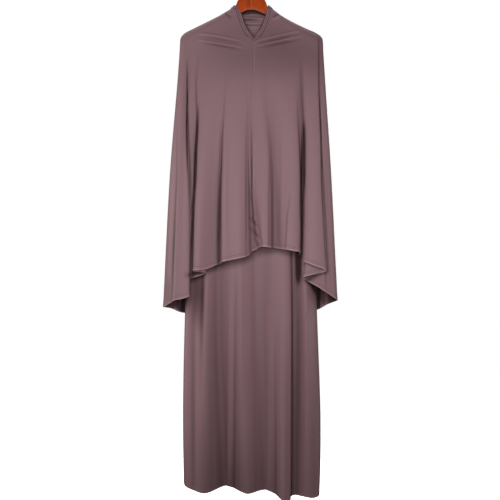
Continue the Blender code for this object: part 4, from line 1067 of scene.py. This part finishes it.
# The hijab's cape: two fronts joined by a seam at the middle, and a back, of the same jersey. It falls
# from the hanger in deep folds to a wide wavy hem, turned up and stitched like the dress's.
CAPE_HANG_DEPTH = 0.0250
CHEST_Z = -0.337
WAIST_Z = -0.600
V_BOTTOM_Z = -0.2130
V_TOP_Z = -0.100
V_CENTRE_X = 0.0065
V_LEAN_TOP = 0.03
V_LEAN_FOOT = 0.10
NAPE_DIP = 0.010
EVEN_ABOVE = 0.090
CAPE_YOKE_Z = [-0.1120, -0.1200, -0.1325, -0.1500, -0.1700, -0.1870, -0.2000, V_BOTTOM_Z, -0.2400]
V_SEAM = [
    Opening(-0.1120, 0.0525),
    Opening(-0.1300, 0.0500),
    Opening(-0.1500, 0.0435),
    Opening(-0.1700, 0.0367),
    Opening(-0.1870, 0.0280),
    Opening(-0.2000, 0.0185),
    Opening(V_BOTTOM_Z, 0.0),
]
# The folds of the fronts run from the middle seam out to the side seam, with out counted from the middle.
Fold = namedtuple("Fold", "chest_out chest_y waist_out waist_y hem_out hem_y hem_z")
CAPE_FRONT_LEFT = folds(
    Fold,
    (0, -315, 5, -490, 290, -820, -8245),
    (100, -320, 140, -540, 370, -890, -8245),
    (300, -325, 500, -560, 520, -870, -8260),
    (460, -315, 640, -470, 660, -730, -8280),
    (620, -320, 800, -500, 860, -810, -8310),
    (800, -330, 1030, -570, 1010, -910, -8330),
    (1050, -340, 1240, -600, 1240, -940, -8370),
    (1280, -335, 1410, -560, 1415, -860, -8400),
    (1380, -320, 1445, -420, 1415, -600, -8480),
    (1450, -315, 1515, -410, 1500, -590, -8560),
    (1520, -320, 1555, -530, 1505, -860, -8660),
    (1700, -340, 1780, -610, 1800, -960, -8790),
    (1980, -325, 2065, -580, 2175, -910, -8930),
    (2020, -300, 2055, -480, 2160, -810, -8970),
    (2050, -280, 1960, -440, 1520, -780, -9130),
    (2070, -265, 1955, -370, 1510, -680, -9170),
    (2100, -240, 2120, -380, 2000, -660, -9460),
    (2140, -195, 2260, -330, 2360, -610, -9700),
    (2190, -105, 2355, -180, 2520, -360, -9810),
    (2215, 0, 2385, 0, 2580, 0, -9850),
)
CAPE_FRONT_RIGHT = folds(
    Fold,
    (0, -315, -5, -490, -290, -820, -8245),
    (25, -312, 25, -460, -170, -730, -8300),
    (60, -310, 70, -440, -30, -670, -8380),
    (120, -315, 130, -500, 105, -800, -8510),
    (300, -330, 340, -570, 360, -940, -8580),
    (520, -340, 650, -580, 650, -910, -8640),
    (720, -335, 860, -570, 860, -900, -8690),
    (800, -320, 915, -490, 885, -750, -8720),
    (940, -320, 1080, -500, 1100, -730, -8810),
    (1120, -330, 1270, -550, 1310, -810, -8890),
    (1340, -335, 1480, -600, 1550, -930, -8930),
    (1540, -330, 1650, -580, 1725, -910, -8940),
    (1600, -325, 1640, -500, 1710, -820, -8960),
    (1635, -300, 1520, -470, 1345, -780, -9010),
    (1670, -275, 1515, -400, 1335, -680, -9030),
    (1740, -265, 1730, -370, 1810, -620, -9190),
    (1800, -265, 1975, -380, 2310, -580, -9380),
    (1845, -285, 1985, -450, 2320, -670, -9410),
    (1885, -315, 1845, -510, 1800, -750, -9630),
    (1925, -325, 1830, -580, 1785, -850, -9670),
    (2000, -295, 1970, -630, 2000, -920, -9750),
    (2080, -255, 2150, -570, 2230, -900, -9800),
    (2140, -200, 2265, -420, 2390, -710, -9900),
    (2195, -105, 2400, -210, 2560, -390, -10010),
    (2225, 0, 2440, 0, 2650, 0, -10050),
)
# The back, from the left side across to the right side: out is positive on the left.
CAPE_BACK = folds(
    Fold,
    (2215, 0, 2385, 0, 2580, 0, -9850),
    (2190, 105, 2355, 200, 2510, 420, -9920),
    (2080, 250, 2210, 500, 2320, 840, -10040),
    (1920, 280, 2030, 410, 2050, 580, -10160),
    (1680, 330, 1800, 560, 1760, 940, -10280),
    (1460, 300, 1520, 430, 1460, 590, -10370),
    (1180, 340, 1240, 560, 1180, 880, -10450),
    (900, 320, 920, 440, 860, 640, -10510),
    (580, 350, 620, 580, 520, 960, -10570),
    (260, 330, 300, 460, 180, 660, -10600),
    (-60, 350, -40, 550, -140, 860, -10610),
    (-380, 330, -360, 440, -460, 620, -10600),
    (-700, 350, -700, 580, -820, 980, -10560),
    (-1000, 320, -1020, 450, -1120, 640, -10510),
    (-1300, 340, -1360, 540, -1460, 840, -10450),
    (-1560, 310, -1640, 420, -1700, 600, -10390),
    (-1800, 320, -1900, 560, -1960, 940, -10320),
    (-1980, 290, -2100, 410, -2200, 600, -10240),
    (-2110, 235, -2290, 440, -2460, 780, -10150),
    (-2195, 105, -2410, 200, -2590, 380, -10090),
    (-2225, 0, -2440, 0, -2650, 0, -10050),
)
CAPE_FRONT_STEPS = 9
CAPE_BACK_STEPS = 7
CAPE_ROW_STEPS = [5, 6, 7, 8, 7, 5, 4, 13, 30, 54, 64]


def cape_depth(x, z):
    return hang_depth(x, z, CAPE_SKIN, CAPE_HANG_DEPTH, 0.0)


def v_half(z):
    """Half width of the face opening at its seam."""
    heights = [-row.z for row in V_SEAM]
    return float(np.interp(-z, heights, [row.half for row in V_SEAM]))


def v_lean(z):
    """How far the opening's middle, and the seam under it, lie to the left."""
    return V_CENTRE_X * float(ease((V_TOP_Z - z) / V_LEAN_TOP) * ease((z - CHEST_Z) / V_LEAN_FOOT))


def cape_plans(table, steps, side=1):
    """The cape's plan curves at the chest, the waist and the hem."""
    heights = {"chest": CHEST_Z, "waist": WAIST_Z, "hem": None}
    return [plan_curve(table, (at + "_out", at + "_y"), z, steps, side) for at, z in heights.items()]


def cape_front_grid(table, side):
    """Middle points of one half of the cape's front, from its middle seam to its side seam."""
    chest, waist, hem = cape_plans(table, CAPE_FRONT_STEPS, side)
    share = chest[:, 0] / chest[-1, 0]
    even = np.linspace(0.0, 1.0, len(share))
    levels = []
    for z in CAPE_YOKE_Z:
        inner = v_lean(z) + side * v_half(z)
        outer = side * half_width(side, z, 0.0)
        evened = ease((z - V_BOTTOM_Z) / EVEN_ABOVE)
        x = inner + (outer - inner) * (share * (1 - evened) + even * evened)
        levels.append(np.stack([x, -cape_depth(x, z), np.full_like(x, z)], axis=1))
    return smooth(levels + [chest, waist, hem], CAPE_ROW_STEPS)


def cape_back_grid():
    """Middle points of the cape's back, from its left side seam to its right."""
    chest, waist, hem = cape_plans(CAPE_BACK, CAPE_BACK_STEPS)
    left = chest[:, 0] >= 0
    share = np.where(left, chest[:, 0] / chest[0, 0], -chest[:, 0] / chest[-1, 0])
    levels = []
    for z in CAPE_YOKE_Z:
        widths = np.where(left, half_width(1, z, 0.0), half_width(-1, z, 0.0))
        x = share * widths
        dip = NAPE_DIP * (1 - share**4) * (1 - ease((CAPE_YOKE_Z[0] - z) / NAPE_FADE))
        levels.append(np.stack([x, cape_depth(x, z - dip), z - dip], axis=1))
    return smooth(levels + [chest, waist, hem], CAPE_ROW_STEPS)


cape_left = cape_front_grid(CAPE_FRONT_LEFT, 1)
cape_right = cape_front_grid(CAPE_FRONT_RIGHT, -1)[:, ::-1]
cape_back = cape_back_grid()
cape_back[:, 0] = cape_left[:, -1]
cape_back[:, -1] = cape_right[:, 0]

# Creases of the cape. In front the cloth pulls from each shoulder to the foot of the V, its folds close into
# deep valleys further down, and it wrinkles over the middle seam. Their shade is painted shade, darkest in
# the valleys; rows of height 0 paint it alone, beside valleys, over the upper chest and inside the pleats at
# the hem, and negative shade takes it off ridges and the middle seam as painted highlight. INSIDE paints
# shade, and takes it off one strip, only on the back's inner face, where it shows below the front's lower
# corners.
PULLS = creases(
    (22, 62, -0.50, (-1600, -1890), (-1100, -1960), (-300, -2130)),
    (32, -40, 0.24, (-1500, -1945), (-1000, -2020), (-300, -2165)),
    (22, 62, -0.50, (-1600, -2085), (-1100, -2175), (-250, -2320)),
    (32, -40, 0.24, (-1500, -2150), (-1000, -2235), (-250, -2365)),
    (22, 62, -0.50, (160, -2120), (750, -1975), (1420, -1810)),
    (32, -40, 0.24, (180, -2160), (750, -2030), (1350, -1880)),
    (22, 62, -0.50, (200, -2260), (900, -2110), (1550, -1960)),
    (32, -40, 0.24, (220, -2310), (900, -2165), (1500, -2025)),
    (30, -28, 0.55, (-860, -1280), (-711, -1330), (-580, -1420)),
    (28, 36, -0.30, (600, -1440), (790, -1400), (960, -1340)),
    (26, -30, 0.80, (600, -1385), (740, -1345), (900, -1290)),
)
VALLEYS = creases(
    (30, -60, 1.45, (-1920, -2650), (-1895, -3700), (-1900, -4700), (-1870, -6100)),
    (75, 0, 0.20, (-1960, -3000), (-1940, -4300), (-1930, -5600)),
    (32, -30, 0.60, (-1885, -4900), (-1830, -6170), (-1785, -7020), (-1750, -7900)),
    (40, -50, 1.60, (-1590, -4000), (-1610, -4830), (-1645, -5420), (-1660, -6170), (-1690, -6600)),
    (43, -60, 2.60, (-1650, -5400), (-1670, -6300), (-1720, -7050), (-1735, -7800), (-1760, -10400)),
    (60, 0, 0.26, (-1660, -4200), (-1720, -5390), (-1755, -6870)),
    (42, -50, 0.90, (-890, -4500), (-910, -5840), (-945, -6870), (-965, -8050), (-955, -10670)),
    (80, 0, 0.32, (-1000, -5390), (-1045, -6870), (-1055, -8340), (-1050, -10670)),
    (26, -26, 0.30, (-140, -4400), (-140, -6870), (-130, -9500)),
    (30, -26, 0.48, (-15, -4600), (-15, -6730), (45, -7460), (100, -8050), (305, -8600)),
    (85, -10, 0.30, (-75, -5100), (-75, -6870), (-20, -8050), (15, -10000)),
    (30, 24, 0.0, (45, -4800), (50, -6730), (110, -7460), (200, -8050), (370, -8600)),
    (90, -15, 0.36, (605, -3750), (620, -5100), (630, -6280), (630, -7760), (655, -10670)),
    (26, -26, 0.30, (545, -5600), (520, -6870), (520, -8050), (510, -9500)),
    (50, -25, 0.52, (1475, -2710), (1485, -3900), (1520, -4830), (1535, -5690)),
    (50, -70, 1.90, (1540, -4500), (1525, -5420), (1512, -6170), (1482, -6870), (1475, -7610)),
    (40, -60, 1.10, (1490, -6300), (1480, -7000), (1480, -7700), (1460, -8190), (1425, -9790)),
    (60, 0, 0.20, (1470, -4400), (1460, -6170), (1430, -7500)),
    (28, -30, 1.00, (2000, -1820), (2005, -3600), (2045, -4830), (2060, -6170), (2095, -7320)),
    (28, -30, 0.75, (2050, -5500), (2065, -6500), (2095, -7320), (2145, -8510), (2210, -9790)),
    (24, -22, 0.34, (1130, -6600), (1025, -7320), (980, -7900), (945, -8800)),
    (34, -26, 0.62, (-2190, -4300), (-2200, -6170), (-2250, -7320), (-2280, -8340), (-2350, -11000)),
    (34, 20, 0.0, (-2120, -4300), (-2120, -6170), (-2140, -7320), (-2165, -8340), (-2225, -10800)),
    (40, 20, 0.0, (-2375, -4800), (-2390, -6580), (-2435, -8050), (-2470, -9790)),
    (35, -12, 0.10, (-700, -4600), (-710, -6500), (-720, -9500)),
    (60, 16, 0.0, (300, -3800), (310, -6100), (340, -9500)),
    (60, 16, 0.0, (900, -4000), (890, -6100), (850, -9000)),
    (75, 0, 0.30, (-2230, -7000), (-2290, -8500), (-2340, -10000)),
    (110, 0, 0.28, (-2450, -9000), (-2430, -9600), (-2400, -10300)),
    (60, 0, 0.30, (770, -6000), (810, -8000), (850, -9800)),
    (80, 0, 0.24, (60, -6800), (150, -8000), (280, -8900)),
    (55, 0, 1.10, (-1980, -9080), (-1650, -9040), (-1250, -8950)),
    (60, 0, 1.25, (1480, -9290), (1750, -9160), (2050, -9010)),
    (16, 0, -0.30, (86, -2050), (86, -2600), (86, -3150)),
    (840, 0, 0.39, (-1700, -2500), (800, -2420), (3300, -2350)),
    (130, 0, 0.11, (-1250, -5000), (-1220, -7000), (-1200, -10000)),
)
WRINKLES = creases(
    (32, 24, 0.0, (-60, -7200), (60, -7380), (180, -7480)),
    (32, -24, 0.25, (-70, -7330), (50, -7520), (200, -7660)),
    (32, 24, 0.0, (-70, -7480), (60, -7680), (230, -7840)),
    (32, -24, 0.25, (-70, -7640), (70, -7850), (260, -8010)),
    (32, 24, 0.0, (-70, -7810), (80, -8010), (280, -8160)),
)
FRONT_CREASES = PULLS + VALLEYS + WRINKLES
INSIDE = creases(
    (45, 0, 1.10, (2075, -9300), (2075, -9700), (2075, -10300)),
    (60, 0, -0.90, (2185, -9200), (2185, -9750), (2185, -10400)),
    (100, 0, 0.90, (2350, -9500), (2440, -9750), (2580, -10000)),
    (100, 0, 0.50, (-2150, -9500), (-2150, -10000), (-2150, -10500)),
)
BACK_CREASES = creases(
    (55, -40, 0.50, (-2060, -3200), (-2100, -5600), (-2180, -8600)),
    (48, -50, 0.70, (-1640, -4800), (-1680, -6700), (-1760, -10200)),
    (60, 34, 0.0, (-1360, -5600), (-1400, -7200), (-1420, -8900)),
    (60, -44, 0.60, (-1050, -3600), (-1070, -5600), (-1140, -10300)),
    (42, -40, 0.66, (-640, -6600), (-660, -8300), (-700, -10500)),
    (65, 34, 0.0, (-360, -5200), (-380, -7400), (-360, -9300)),
    (50, -44, 0.62, (-60, -4400), (-30, -6600), (-80, -10600)),
    (70, -28, 0.30, (330, -7000), (350, -8400), (400, -9900)),
    (48, -48, 0.70, (640, -4000), (660, -6200), (730, -10300)),
    (60, 34, 0.0, (970, -5400), (1000, -7000), (1060, -9100)),
    (60, -40, 0.46, (1270, -3300), (1330, -5600), (1400, -8200)),
    (45, -50, 0.72, (1610, -6200), (1670, -8000), (1740, -10200)),
    (55, -40, 0.50, (2030, -3000), (2090, -6000), (2160, -9400)),
    (36, -30, 0.25, (-1300, -2300), (-900, -2240), (-560, -2080)),
    (36, -30, 0.25, (600, -2120), (980, -2330), (1420, -2420)),
)


def shade_inside(piece, shade):
    """Add painted shade, or take some away, only on the inner of a back piece's two layers of points, the one
    further forward.
    """
    spots = np.empty(len(piece.data.vertices) * 3, dtype=np.float32)
    piece.data.vertices.foreach_get("co", spots)
    y = spots[1::3]
    count = shade.size
    first = 0 if y[:count].mean() < y[count : 2 * count].mean() else count
    layer = piece.data.attributes["hollow"].data
    hollow = np.empty(len(layer), dtype=np.float32)
    layer.foreach_get("value", hollow)
    hollow[first : first + count] += shade.ravel()
    layer.foreach_set("value", np.clip(hollow, 0.0, 1.0))


inside_shade = press_creases(cape_back, INSIDE, 1)[1] - valley_shade_of(cape_back, 1)
cape_pieces = {
    "hijab_front_left": (press_creases(cape_left, FRONT_CREASES, -1), (0.36, 0.88), 0.24),
    "hijab_front_right": (press_creases(cape_right, FRONT_CREASES, -1), (0.42, 0.90), 0.29),
    "hijab_back": (press_creases(cape_back, BACK_CREASES, 1), (0.80, 0.96), 0.55),
}
for node, (form, cut, area) in cape_pieces.items():
    piece = make_cloth(node + "_cloth", *close_at_hem(*form))
    if node == "hijab_back":
        shade_inside(piece, close_at_hem(form[0], inside_shade)[1])
    piece.data.materials.append(hemmed_jersey)
    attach(piece, "root")
    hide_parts(node)

# The hood: a single layer of jersey, sewn to the back of the neck and dropped behind it, where it
# hangs as an empty pouch with its rim lying open.
HOOD_RIM_COLUMNS = 12
HOOD_CORNER_ANGLE = 35
HOOD_CORNER_SHARE = 0.20
HOOD_DEPTH = 0.205
HOOD_CORNER_DEPTH = 0.030
HOOD_APART = 0.016
HOOD_CORNER_APART = 0.008
HOOD_SPREAD = 0.60
HOOD_BACK_CLEAR = 0.0055
HOOD_LIFT = 0.009
HOOD_LIFT_FROM = 0.22
HOOD_LIFT_OVER = 0.12
HOOD_RISE = 0.006
HOOD_TURN = 0.0044
# The hood's rows, down its inner layer and up its outer one: share of its depth, how far the layers part
HoodRow = namedtuple("HoodRow", "share away")
HOOD_LAYERS = [
    HoodRow(0.15, 0.0),
    HoodRow(0.55, 0.0),
    HoodRow(0.95, 0.0),
    HoodRow(1.00, 0.5),
    HoodRow(0.95, 1.0),
    HoodRow(0.50, 1.25),
]
HOOD_RIM_HALF = 0.0570
HOOD_RIM_START = 0.010
HOOD_RIM_REACH = 0.036
HOOD_RIM_Z = -0.1020
HOOD_RIM_SAG = 0.012
BAND_WIDTH = 0.013
BAND_STEP_IN = 0.0013
BAND_LEAN = 0.002
BAND_CURL = 0.93
HOOD_FINE_COLUMNS = 72
HOOD_ROW_STEPS = [2, 2, 6, 16, 16, 5, 5, 16, 16]
HOOD_STITCH = 0.004


def along_edge(edge, shares):
    """Points at the given shares of an edge's length."""
    reach = reach_along(edge)
    at = np.asarray(shares) * reach[-1]
    return np.stack([np.interp(at, reach, edge[:, axis]) for axis in range(3)], axis=1)


def rim_path(angle):
    """The rim of the hood, round the back of the neck."""
    across = HOOD_RIM_HALF * np.cos(angle)
    reach = HOOD_RIM_START + HOOD_RIM_REACH * np.sin(angle)
    return np.stack([across, reach, HOOD_RIM_Z - HOOD_RIM_SAG * np.sin(angle)], axis=1)


def hood_angles(columns):
    return np.radians(np.linspace(HOOD_CORNER_ANGLE, 180 - HOOD_CORNER_ANGLE, columns + 1))


nape = cape_back[0]
angle = hood_angles(HOOD_FINE_COLUMNS)
fill = np.maximum((np.sin(angle) - np.sin(angle[0])) / (1 - np.sin(angle[0])), 0.0)
shares = np.linspace(HOOD_CORNER_SHARE, 1 - HOOD_CORNER_SHARE, HOOD_FINE_COLUMNS + 1)
hood_seam = along_edge(nape, shares)
hood_seam[:, 2] += 2 * SEAM_GAP
rim = rim_path(angle)
rim[:, 2] -= SEAM_GAP
depth = HOOD_CORNER_DEPTH + (HOOD_DEPTH - HOOD_CORNER_DEPTH) * np.sqrt(fill)
apart = HOOD_CORNER_APART + (HOOD_APART - HOOD_CORNER_APART) * np.sqrt(fill)


def hood_layer(share, away):
    """A row at a share of the depth, away from the layer that lies on the cape's back."""
    z = hood_seam[:, 2] - depth * share
    x = hood_seam[:, 0] * (1 + HOOD_SPREAD * share)
    rest = cape_depth(x, z) + HOOD_BACK_CLEAR + HOOD_LIFT * ease((-z - HOOD_LIFT_FROM) / HOOD_LIFT_OVER)
    return np.stack([x, rest + away * apart, z], axis=1)


rise = hood_seam + np.array([0.0, 2 * SEAM_GAP, HOOD_RISE])
over = rise + np.array([0.0, HOOD_TURN, 2 * SEAM_GAP])
hood_rows = [hood_seam, rise, over] + [hood_layer(row.share, row.away) for row in HOOD_LAYERS] + [rim]
hood = make_cloth("hijab_hood_cloth", smooth(hood_rows, HOOD_ROW_STEPS), hemmed=False)
plain_jersey = jersey("plain_jersey", [HOOD_STITCH])
hood.data.materials.append(plain_jersey)
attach(hood, "root")
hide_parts("hijab_hood")

# The face band: a doubled strip of jersey along both sides of the V, over the neck and round the hood's
# rim, stitched down with twin rows that leave two soft ribs between them. A dark line along its free edge is
# painted shade.
BAND_THICK = 0.0021
# Lines darkened across the band: rows of stitching, and the last, at the free edge, painted shade.
BAND_STITCHES_AND_EDGE_SHADE = [0.0007, 0.0064, 0.0122, 0.0134]
BAND_GROOVE_HALF = 0.0016
BandStation = namedtuple("BandStation", "seam_z edge_half edge_z")
V_BAND = [
    BandStation(-0.2124, 0.0, -0.2050),
    BandStation(-0.2040, 0.0068, -0.1970),
    BandStation(-0.1870, 0.0158, -0.1810),
    BandStation(-0.1700, 0.0235, -0.1650),
    BandStation(-0.1520, 0.0300, -0.1485),
    BandStation(-0.1350, 0.0358, -0.1325),
    BandStation(-0.1180, 0.0412, -0.1165),
]
# Where the band crosses the hanger: share of the cape's top edge, and the band's free edge
RidgePoint = namedtuple("RidgePoint", "share right left y z")
RIDGE_BEFORE = [
    RidgePoint(0.00, 0.0405, 0.0470, -0.0118, -0.1120),
    RidgePoint(0.35, 0.0440, 0.0485, -0.0114, -0.1065),
    RidgePoint(0.65, 0.0493, 0.0498, -0.0085, -0.1028),
    RidgePoint(1.00, 0.0500, 0.0508, 0.0000, -0.1008),
]
RIDGE_BEHIND = [
    RidgePoint(0.05, 0.0485, 0.0495, 0.0070, -0.1010),
    RidgePoint(0.10, 0.0455, 0.0462, 0.0150, -0.1010),
]
BAND_STEPS = 4
BAND_ROW_STEPS = 6
BAND_RIB = 0.0009


def band_front(side):
    """The band's seam and free edge on one side of the V, from its foot up."""
    seam = []
    edge = []
    for station in V_BAND:
        half = max(v_half(station.seam_z) - 2 * SEAM_GAP, SEAM_GAP / 2)
        seam_x = v_lean(station.seam_z) + side * half
        edge_x = v_lean(station.edge_z) + side * max(station.edge_half, SEAM_GAP / 2)
        seam.append((seam_x, -float(cape_depth(seam_x, station.seam_z)), station.seam_z))
        edge.append((edge_x, -float(cape_depth(edge_x, station.edge_z)), station.edge_z))
    return np.array(seam), np.array(edge)


def band_over(side, front_top, nape):
    """The band where it crosses the hanger, from the V's top to the hood's corner."""
    before = front_top if side > 0 else front_top[::-1]
    behind = nape if side > 0 else nape[::-1]
    over = along_edge(before, [row.share for row in RIDGE_BEFORE])
    past = along_edge(behind, [row.share for row in RIDGE_BEHIND])
    seam = np.concatenate([over, past])
    rows = RIDGE_BEFORE + RIDGE_BEHIND
    edge = np.array([(-row.right if side < 0 else row.left, row.y, row.z) for row in rows])
    return seam + unit(edge - seam) * BAND_STEP_IN, edge


left_seam, left_edge = band_front(1)
right_seam, right_edge = band_front(-1)
over_left_seam, over_left_edge = band_over(1, cape_left[0], nape)
over_right_seam, over_right_edge = band_over(-1, cape_right[0], nape)
rim = rim_path(hood_angles(HOOD_RIM_COLUMNS))
upright = rim + np.array([0.0, -BAND_LEAN, BAND_WIDTH])
upright[:, 0] *= BAND_CURL
seam = np.concatenate([left_seam, over_left_seam, rim, over_right_seam[::-1], right_seam[::-1]])
edge = np.concatenate([left_edge, over_left_edge, upright, over_right_edge[::-1], right_edge[::-1]])
band_parts = [BAND_STEPS] * (len(seam) - 1)
seam = smooth(seam, band_parts)
edge = smooth(edge, band_parts)
band_points = smooth([edge, (seam + edge) / 2, seam], [BAND_ROW_STEPS] * 2)
rib = BAND_RIB * np.abs(np.sin(2 * np.pi * np.linspace(0.0, 1.0, len(band_points))))
band_points = band_points + normals_of(band_points) * rib[:, None, None]
band = make_cloth("hijab_face_band_cloth", band_points, hemmed=False, thick=BAND_THICK)
banded_jersey = jersey("banded_jersey", BAND_STITCHES_AND_EDGE_SHADE, half=BAND_GROOVE_HALF, dark=0.92)
band.data.materials.append(banded_jersey)
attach(band, "root")
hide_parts("hijab_face_band")
